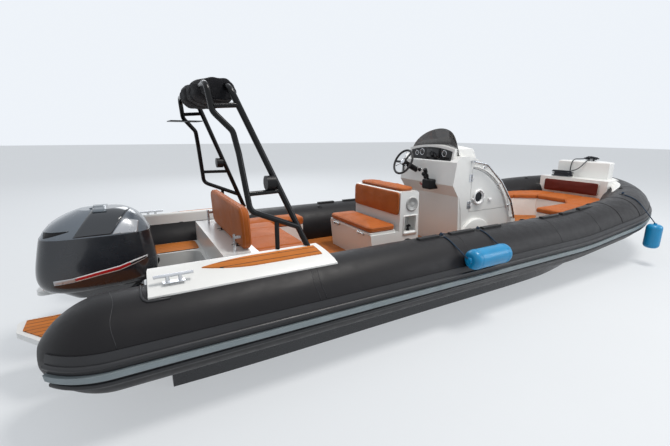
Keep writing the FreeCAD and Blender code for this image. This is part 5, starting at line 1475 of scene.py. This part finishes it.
def over_rows(angles, aft, front, steps):
    """Lines towards the cowl's axis between two angles; aft and front give x at each share."""
    rows = []
    for i in range(steps[0] + 1):
        share = i / steps[0]
        angle = math.radians(angles[0] + (angles[1] - angles[0]) * share)
        away = Vector((0, -math.cos(angle), math.sin(angle)))
        row = []
        for j in range(steps[1] + 1):
            x = aft(share) + (front(share) - aft(share)) * j / steps[1]
            start = Vector((x, 0, COWL_AXIS_HEIGHT)) + away * 0.6
            row.append((start, -away))
        rows.append(row)
    return rows


def add_stripes(tree):
    """Layers of the stripe on both sides of the cowl."""
    layers = [
        # name, finish, start, end, lowest and highest share of the width, lift
        ("stripe_silver", "silver", -0.700, -0.560, -1.0, 1.0, 0.0012),
        ("stripe_white", "white", -0.560, -0.050, -1.0, 1.0, 0.0012),
        ("stripe_red", "red", -0.560, -0.180, -0.62, 0.62, 0.0022),
        ("stripe_black", "black", -0.180, -0.060, -0.62, 0.25, 0.0022),
    ]
    for name, finish, start, end, low, high, lift in layers:
        patch = draped_patch(tree, side_rows(start, end, low, high), lift)
        add_joined(name, both_sides(patch), finish, "motor")


def add_bands(tree):
    """The glossy band over the cowl, its facets and the vent on top."""
    band = draped_patch(tree, over_rows((17, 163), lambda s: -0.535 + 0.150 * math.sin(math.pi * s),
                                        lambda s: -0.283 + 0.150 * math.sin(math.pi * s), (56, 14)), 0.0015)
    add_piece("cowl_band", band, "cowl_gloss", "motor")
    facet = draped_patch(tree, over_rows((16.6, 42), lambda s: -0.278 + 0.085 * s,
                                         lambda s: -0.100 + 0.015 * s, (16, 12)), 0.0022)
    add_joined("cowl_facets", both_sides(facet), "silver", "motor")
    vent = draped_patch(tree, over_rows((60, 120), lambda s: -0.395, lambda s: -0.300, (16, 6)), 0.010)
    add_piece("cowl_vent", vent, "cowl_grey", "motor")


INLET_AFT = -0.722
INLET_FRONT = -0.556
INLET_STEPS = 12


def add_inlets(tree):
    """Air inlets at the cowl's sides, and their lips."""
    rows = []
    for i in range(INLET_STEPS + 1):
        share = i / INLET_STEPS
        x = INLET_AFT + (INLET_FRONT - INLET_AFT) * share
        half = 0.020 - 0.017 * share
        middle = 1.034 + 0.026 * share
        rows.append([((x, -1.0, middle + half * (j / 3 - 1)), Y_AXIS) for j in range(7)])
    wedge = draped_patch(tree, rows, 0.0012)
    lip = tube_mesh([laid_on(tree, row[-1][0], (0, 1, 0), 0.003) for row in rows], 0.0045, 8)
    add_joined("cowl_inlets", both_sides(wedge), "black", "motor")
    add_joined("cowl_inlet_lips", both_sides(lip), "cowl_grey", "motor")


def add_cowl_latch():
    """The latch at the cowl's front."""
    latch = [box_mesh((0.018, -0.05, 0.66), (0.044, 0.05, 0.70), 0.006, 3),
             box_mesh((0.026, -0.035, 0.64), (0.036, 0.035, 0.667), 0.004)]
    add_joined("cowl_latch", latch, "black", "motor")


class BOAT_OT_cowl_trim(bpy.types.Operator):
    """Stripes, bands, air inlet and vent of the motor's cowl."""

    bl_idname = "boat.cowl_trim"
    bl_label = "Cowl trim"
    bl_options = {"REGISTER", "UNDO"}

    def execute(self, context):
        tree = surface_of("cowl")
        add_stripes(tree)
        add_bands(tree)
        add_inlets(tree)
        add_cowl_latch()
        return {"FINISHED"}


# Console: gauges, knobs, mouldings, porthole rim

CONSOLE_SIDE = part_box("console")[0].y
PANEL_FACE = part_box("dash_panel")[0].x
GAUGES = [
    # y, height, radius, reading in degrees
    (0.165, 1.560, 0.038, 70),
    (0.262, 1.545, 0.028, 120),
    (-0.225, 1.553, 0.036, 40),
]
KNOBS = [
    # y, height, radius
    (0.116, 1.335, 0.022),
    (0.030, 1.285, 0.026),
    (-0.010, 1.250, 0.022),
    (-0.050, 1.215, 0.020),
]
KNOB_AXIS = (-0.99, 0, 0.15)
WHEEL_MIDDLE = Vector((2.99, 0.2, 1.435))
WHEEL_TILT = math.radians(25)
PORTHOLE = Vector((3.640, CONSOLE_SIDE - 0.012, 1.030))
PORTHOLE_RADIUS = 0.083
RAIL_FEET = ((3.700, 1.385), (4.000, 1.165), (4.245, 0.870))


def spoke(angle, across=Y_AXIS, up=Z_AXIS):
    """A direction at an angle in degrees, in a plane."""
    turn = math.radians(angle)
    return across * math.cos(turn) + up * math.sin(turn)


def gauge(y, z, radius, reading):
    """Bezel, dial and needle of one gauge; the meshes for metal, dark and white."""
    bezel = ring((PANEL_FACE - 0.002, y, z), (1, 0, 0), radius, 0.004, 40, 10)
    dial = lathe([(0, radius), (0.002, radius), (0.003, radius * 0.9)], (PANEL_FACE, y, z), (-1, 0, 0), 36)
    middle = Vector((PANEL_FACE - 0.005, y, z))
    marks = [rod(middle, middle + spoke(reading) * radius * 0.75, 0.0016, 6, 0.0006)]
    for i in range(9):
        way = spoke(-30 + 30 * i) * radius
        marks.append(rod(middle + way * 0.72, middle + way * 0.86, 0.0011, 5))
    return bezel, dial, marks


def add_gauges():
    """Gauges, the chart screen and a row of switches."""
    bezels, dials, needles = [], [], []
    for place in GAUGES:
        bezel, dial, marks = gauge(*place)
        bezels.append(bezel)
        dials.append(dial)
        needles += marks
    screen = box_mesh((PANEL_FACE - 0.012, -0.150, 1.492), (PANEL_FACE, 0.085, 1.612), 0.006, 3)
    glass = box_mesh((PANEL_FACE - 0.0135, -0.136, 1.504), (PANEL_FACE - 0.006, 0.071, 1.600), 0.002)
    add_joined("gauge_bezels", bezels, "steel", "boat")
    add_joined("gauge_dials", dials + [glass], "panel", "boat")
    add_joined("gauge_needles", needles, "white", "boat")
    switches = [screen]
    for i in range(5):
        y = -0.300 + 0.030 * i
        switches.append(box_mesh((PANEL_FACE - 0.006, y, 1.483), (PANEL_FACE, y + 0.020, 1.510), 0.002))
    add_joined("chart_screen", switches, "black", "boat")


def add_knobs():
    """Knobs beside the wheel, and the ring of the stop switch."""
    tree = surface_of("console")
    knobs, seats = [], []
    for y, z, radius in KNOBS:
        foot = laid_on(tree, (2.9, y, z), (1, 0, 0), 0.0)
        profile = [(-0.002, radius * 1.2), (0.004, radius * 1.2), (0.006, radius), (0.022, radius * 0.9),
                   (0.028, radius * 0.7), (0.029, 0.002)]
        knobs.append(lathe(profile, foot, KNOB_AXIS, 28))
        seats.append(ring(foot - X_AXIS * 0.005, KNOB_AXIS, radius * 1.15, 0.003, 32, 8))
    add_joined("console_knobs", knobs, "black", "boat")
    add_joined("knob_rings", seats, "steel", "boat")
    lanyard = laid_on(tree, (2.9, 0.088, 1.155), (1, 0, 0), 0.004)
    loop = [ring(lanyard, (-0.81, 0.1, -0.58), 0.017, 0.0035, 32, 8)]
    add_joined("kill_switch_ring", loop, "red", "boat")


def add_wheel_hub():
    """The wheel's cap and spokes."""
    axis = Vector((-math.cos(WHEEL_TILT), 0, math.sin(WHEEL_TILT)))
    up = Vector((math.sin(WHEEL_TILT), 0, math.cos(WHEEL_TILT)))
    plates = [lathe([(0.009, 0.034), (0.013, 0.034), (0.017, 0.030), (0.019, 0.018), (0.020, 0.002)],
                    WHEEL_MIDDLE, axis, 40)]
    for angle in (90, 210, 330):
        way = spoke(angle, Y_AXIS, up)
        plates.append(rod(WHEEL_MIDDLE + way * 0.030, WHEEL_MIDDLE + way * 0.130, 0.0055, 12, 0.004))
    add_joined("wheel_hub", plates, "steel", "wheel")


def on_console(pairs, out):
    """Points on the console's starboard side, moved across by a distance."""
    return [Vector((x, CONSOLE_SIDE + out, z)) for x, z in pairs]


def add_console_mouldings():
    """Beads round the door and down the corner, and the step."""
    door_edge = arc_through((3.515, 1.408), (3.990, 1.178), (4.207, 0.842), 40)
    hood_edge = arc_through((3.53, 1.462), (4.04, 1.220), (4.275, 0.80), 40)
    arch = arc_through((3.36, 0.62), (3.58, 0.762), (3.86, 0.62), 20)
    corner = [(3.197, -0.340, 1.200), (3.262, -0.440, 1.098), (3.312, -0.4805, 1.040),
              (3.344, -0.4815, 0.90), (3.372, -0.4815, 0.70), (3.385, -0.4815, 0.45)]
    beads = [tube_mesh(on_console(door_edge, -0.003), 0.009, 10),
             tube_mesh(on_console(hood_edge, -0.001), 0.005, 8),
             plate_mesh(on_console([(3.36, 0.402)] + arch + [(3.86, 0.402)], 0.002), (0, -0.050, 0), 0.010),
             tube_mesh(corner, 0.005, 8)]
    add_joined("console_mouldings", beads, "gelcoat", "boat")


def add_porthole_rim():
    """The porthole's rim, its lugs and its screws."""
    rim = [ring(PORTHOLE, -Y_AXIS, PORTHOLE_RADIUS, 0.014, 64, 16)]
    screws = []
    for i in range(6):
        place = PORTHOLE + spoke(30 + 60 * i, X_AXIS) * PORTHOLE_RADIUS
        screws.append(lathe([(0.010, 0.006), (0.0145, 0.006), (0.016, 0.004), (0.0165, 0.001)], place,
                            -Y_AXIS, 16))
    half = Vector((0.018, 0.008, 0.013))
    for angle in (-12, 192):
        place = PORTHOLE + spoke(angle, X_AXIS) * (PORTHOLE_RADIUS + 0.017)
        rim.append(box_mesh(place - half, place + half, 0.006, 3))
    add_joined("porthole_rim", rim, "white", "door")
    add_joined("porthole_screws", screws, "steel", "door")


def add_rail_brackets():
    """Brackets of the handrails on both sides."""
    brackets = []
    for x, z in RAIL_FEET:
        for side in (-1, 1):
            foot = Vector((x, side * 0.4795, z))
            brackets.append(rod(foot, foot + Vector((0.012, side * 0.044, 0.018)), 0.007, 12))
            brackets.append(lathe([(0, 0.019), (0.003, 0.019), (0.005, 0.014)], foot, (0, side, 0), 24))
    add_joined("rail_brackets", brackets, "steel", "boat")


class BOAT_OT_console_trim(bpy.types.Operator):
    """Gauges, switches, knobs, wheel hub, mouldings and the porthole's rim."""

    bl_idname = "boat.console_trim"
    bl_label = "Console trim"
    bl_options = {"REGISTER", "UNDO"}

    def execute(self, context):
        add_gauges()
        add_knobs()
        add_wheel_hub()
        add_console_mouldings()
        add_porthole_rim()
        add_rail_brackets()
        return {"FINISHED"}


# Helm unit, bench and stern: small fittings

HELM_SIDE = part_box("helm_unit")[0].y
SPEAKER = Vector((2.603, HELM_SIDE, 1.026))
TAP_FOOT = Vector((2.60, -0.405, 0.7155))
TAP_SPOUT = [(0.0, 0.0495), (-0.015, 0.0695), (-0.035, 0.0645), (-0.041, 0.0495)]
SHELF_TOP = 0.8195
SADDLE_EDGE = [
    # x, y from the inner aft corner round to the outer edge
    (-0.128, -0.985), (-0.128, -1.05), (-0.128, -1.10), (-0.126, -1.14), (-0.118, -1.168),
    (-0.098, -1.184), (-0.04, -1.186), (0.03, -1.186),
]


def small_cleat(place, along, span, tall):
    """A low cleat: a foot, a post and a bar with drooping horns."""
    place, along = Vector(place), Vector(along).normalized()
    across = along.cross(Z_AXIS)
    foot = [place + along * (span * 0.28 * math.cos(a)) + across * (span * 0.10 * math.sin(a))
            for a in (2 * math.pi * i / 24 for i in range(24))]
    bar = []
    for i in range(13):
        share = i / 6 - 1
        bar.append(place + along * (span / 2 * share) + Z_AXIS * (tall - 0.10 * tall * share ** 2))
    rows = []
    for i, point in enumerate(bar):
        share = abs(i / 6 - 1)
        rows.append(circle_points(point, across, Z_AXIS, span * (0.055 - 0.028 * share ** 2), 12))
    post = rod(place, place + Z_AXIS * tall, span * 0.07, 12, span * 0.05)
    horns = grid_mesh("bar", rows, close_columns=True, caps=True)
    return [plate_mesh(foot, (0, 0, 0.004), 0.001), horns, post]


def add_speaker():
    """The speaker in the helm unit's side."""
    grille = lathe([(-0.002, 0.084), (0.004, 0.084), (0.010, 0.078), (0.012, 0.066), (0.008, 0.062),
                    (0.010, 0.040), (0.007, 0.036), (0.011, 0.018), (0.012, 0.002)],
                   SPEAKER, -Y_AXIS, 48)
    # The grille takes the darkened gelcoat, as painted shade
    add_piece("speaker", grille, "shade", "boat")
    holes = []
    for radius, count, out in ((0.072, 20, 0.0113), (0.051, 14, 0.0090), (0.028, 8, 0.0090)):
        for i in range(count):
            place = SPEAKER + spoke(360 * i / count, X_AXIS) * radius
            holes.append(lathe([(out - 0.003, 0.0042), (out + 0.0006, 0.0042), (out + 0.0008, 0.001)],
                               place, -Y_AXIS, 10))
    add_joined("speaker_holes", holes, "black", "boat")


def add_niche():
    """The niche below the speaker, with its tap."""
    outer = rounded_outline((2.492, 0.672), (2.692, 0.903), 0.018)
    inner = rounded_outline((2.507, 0.716), (2.663, 0.888), 0.012)
    rows = []
    for outline, depth in ((inner, 0.004), (inner, -0.006), (outer, -0.006), (outer, 0.001)):
        rows.append([Vector((x, HELM_SIDE + depth, z)) for x, z in outline])
    frame_ring = grid_mesh("frame", rows, close_rows=True, close_columns=True)
    add_piece("niche_frame", frame_ring, "gelcoat", "boat")
    tap = [lathe([(0, 0.022), (0.010, 0.022), (0.014, 0.016), (0.040, 0.014), (0.044, 0.020),
                  (0.056, 0.020), (0.060, 0.012), (0.061, 0.002)], TAP_FOOT, Z_AXIS, 28),
           tube_mesh([TAP_FOOT + Y_AXIS * out + Z_AXIS * up for out, up in TAP_SPOUT], 0.007, 12)]
    add_joined("niche_tap", tap, "black", "boat")


def add_shelf_cleats():
    """Two low cleats on the bench's shelf."""
    cleats = small_cleat((0.652, 0.196, SHELF_TOP), X_AXIS, 0.095, 0.020)
    cleats += small_cleat((0.648, -0.422, SHELF_TOP), X_AXIS, 0.095, 0.020)
    add_joined("shelf_cleats", cleats, "black", "boat")


def add_saddle_rubber():
    """Rubber along the saddles' aft and outer edges."""
    edge = []
    for x, y in SADDLE_EDGE:
        height = math.sqrt(sizes().tube_radius ** 2 - (y + sizes().tube_spread) ** 2)
        edge.append(Vector((x, y, sizes().tube_rise + height + 0.003)))
    strip = tube_mesh(edge, 0.008, 10)
    add_joined("saddle_rubber", both_sides(strip), "band", "boat")


class BOAT_OT_small_fittings(bpy.types.Operator):
    """Speaker, tap niche, shelf cleats and the saddles' rubber edges."""

    bl_idname = "boat.small_fittings"
    bl_label = "Small fittings"
    bl_options = {"REGISTER", "UNDO"}

    def execute(self, context):
        add_speaker()
        add_niche()
        add_shelf_cleats()
        add_saddle_rubber()
        return {"FINISHED"}


# Hull: spray rails under the tubes

SPRAY_RAILS = ((0.34, 0.10, 5.6), (0.66, 0.10, 5.2))     # distance from the centreline, start, end
RAIL_STEPS = 60
RAIL_FADE = 8
RAIL_DEPTH = 0.024
RAIL_WIDTH = 0.045


def spray_rail(tree, reach, start, end):
    """One rail to starboard, which runs in towards the bow and fades out at its end."""
    rows = []
    for i in range(RAIL_STEPS + 1):
        x = start + (end - start) * i / RAIL_STEPS
        y = -reach * (1 - 0.55 * max(0.0, (x - 3.2) / 3.2) ** 2)
        fade = min(1.0, (RAIL_STEPS - i) / RAIL_FADE)
        inner = laid_on(tree, (x, y + RAIL_WIDTH, -2.0), Z_AXIS, -0.003)
        outer = laid_on(tree, (x, y, -2.0), Z_AXIS, -0.003)
        lip = outer + Vector((0, -0.002, -RAIL_DEPTH * fade - 0.002))
        rows.append([inner, outer, lip + Z_AXIS * 0.004, lip, lip + Y_AXIS * 0.006])
    return grid_mesh("rail", rows, close_columns=True, caps=True)


class BOAT_OT_spray_rails(bpy.types.Operator):
    """Rails that run along the hull's bottom."""

    bl_idname = "boat.spray_rails"
    bl_label = "Spray rails"
    bl_options = {"REGISTER", "UNDO"}

    def execute(self, context):
        tree = surface_of("hull")
        rails = [spray_rail(tree, *rail) for rail in SPRAY_RAILS]
        add_joined("spray_rails", rails + [flipped(rail) for rail in rails], "hull", "boat")
        return {"FINISHED"}


# Fenders and bow: knots, ribs and the white coaming on the tubes

COAMING_END = 7.24
COAMING_TOP = 124     # degrees above level on the tube
COAMING_STEPS = 32
KNOT_STATIONS = (2.475, 2.995, 6.13)
FENDER_MIDDLE = Vector((2.735, -1.402, 0.679))
FENDER_RADIUS = 0.0905


def coaming_half(start):
    """A starboard coaming's skin and rolled edge, from a station to the locker's side."""
    rows, edge = [], []
    for i in range(COAMING_STEPS + 1):
        station = start + (COAMING_END - start) * i / COAMING_STEPS
        low = COAMING_TOP - 23 * math.sin(math.pi / 2 * min(1.0, 0.06 + i / 22))
        angles = [low + (COAMING_TOP - low) * j / 12 for j in range(13)]
        rows.append([skin_point(station, angle, 0.010) for angle in angles]
                    + [skin_point(station, angle, SKIN_GAP) for angle in reversed(angles)])
        edge.append(skin_point(station, low, 0.006))
    return [grid_mesh("coaming", rows, close_columns=True, caps=True), tube_mesh(edge, 0.009, 10)]


def add_coaming():
    """Both coamings; the port one is shorter."""
    pieces = coaming_half(6.46) + [flipped(piece) for piece in coaming_half(6.86)]
    add_joined("bow_coaming", pieces, "gelcoat", "boat")


def add_fender_knots():
    """Knots, loose ends and pads where the fenders' lines are tied."""
    knots, pads = [], []
    for station in KNOT_STATIONS:
        place = skin_point(station, 90, 0.010)
        away = (place - tube_frame(station)[0]).normalized()
        for i, (lean, radius) in enumerate(((0.3, 0.013), (-0.4, 0.012), (0.1, 0.015))):
            axis = (Y_AXIS + X_AXIS * lean).normalized()
            centre = place + away * 0.004 + X_AXIS * (0.006 * (i - 1)) + Y_AXIS * (0.008 * (i - 1))
            knots.append(ring(centre, axis, radius, 0.005, 28, 8))
        tail = [place + Vector((0.010, 0.010, 0.004)), place + Vector((0.030, 0.030, 0.001)),
                place + Vector((0.052, 0.036, -0.001)), place + Vector((0.075, 0.030, -0.002))]
        knots.append(tube_mesh(tail, 0.004, 8))
        pads.append(lathe([(-0.012, 0.042), (-0.006, 0.042), (-0.004, 0.036), (-0.003, 0.004)],
                          place, away, 32))
    add_joined("fender_knots", knots, "line", "boat")
    add_joined("fender_pads", pads, "band", "boat")


def add_fender_ribs():
    """Ribs and end rings of the middle fender."""
    ribs = [ring(FENDER_MIDDLE + X_AXIS * offset, X_AXIS, FENDER_RADIUS, 0.0035, 64, 8)
            for offset in (-0.186, -0.172, 0.172, 0.186)]
    for side in (-1, 1):
        ribs.append(ring(FENDER_MIDDLE + X_AXIS * (side * 0.256), X_AXIS, 0.022, 0.006, 32, 10))
    add_joined("fender_ribs", ribs, "fender", "boat")


class BOAT_OT_bow_trim(bpy.types.Operator):
    """Coaming beside the bow locker, and the fenders' knots and ribs."""

    bl_idname = "boat.bow_trim"
    bl_label = "Bow trim"
    bl_options = {"REGISTER", "UNDO"}

    def execute(self, context):
        add_coaming()
        add_fender_knots()
        add_fender_ribs()
        return {"FINISHED"}


# Main

OPERATORS = [
    BOAT_OT_stage,
    BOAT_OT_finishes,
    BOAT_OT_rope,
    BOAT_OT_aft_cushions,
    BOAT_OT_helm_cushions,
    BOAT_OT_bow_cushions,
    BOAT_OT_canopy,
    BOAT_OT_tube_trim,
    BOAT_OT_cowl_trim,
    BOAT_OT_console_trim,
    BOAT_OT_small_fittings,
    BOAT_OT_spray_rails,
    BOAT_OT_bow_trim,
]


class BOAT_PT_panel(bpy.types.Panel):
    """Sizes, colours and the operators that build the pieces."""

    bl_label = "Inflatable boat"
    bl_idname = "BOAT_PT_panel"
    bl_space_type = "VIEW_3D"
    bl_region_type = "UI"
    bl_category = "Boat"

    def draw(self, context):
        """Lists the sizes, the colours and the operators."""
        for group in (context.scene.boat_sizes, context.scene.boat_colours):
            column = self.layout.column()
            for key in group.__annotations__:
                column.prop(group, key)
        column = self.layout.column()
        for operator in OPERATORS:
            column.operator(operator.bl_idname)


def register():
    """Registers the classes and the properties of the scene."""
    for item in [BoatSizes, BoatColours, BOAT_PT_panel] + OPERATORS:
        bpy.utils.register_class(item)
    bpy.types.Scene.boat_sizes = PointerProperty(type=BoatSizes)
    bpy.types.Scene.boat_colours = PointerProperty(type=BoatColours)


def unregister():
    """Takes the properties and the classes away."""
    del bpy.types.Scene.boat_sizes
    del bpy.types.Scene.boat_colours
    for item in reversed([BoatSizes, BoatColours, BOAT_PT_panel] + OPERATORS):
        bpy.utils.unregister_class(item)


def main():
    """Builds every piece."""
    register()
    for operator in OPERATORS:
        getattr(bpy.ops.boat, operator.bl_idname.split(".")[1])()


if __name__ == "__main__":
    main()
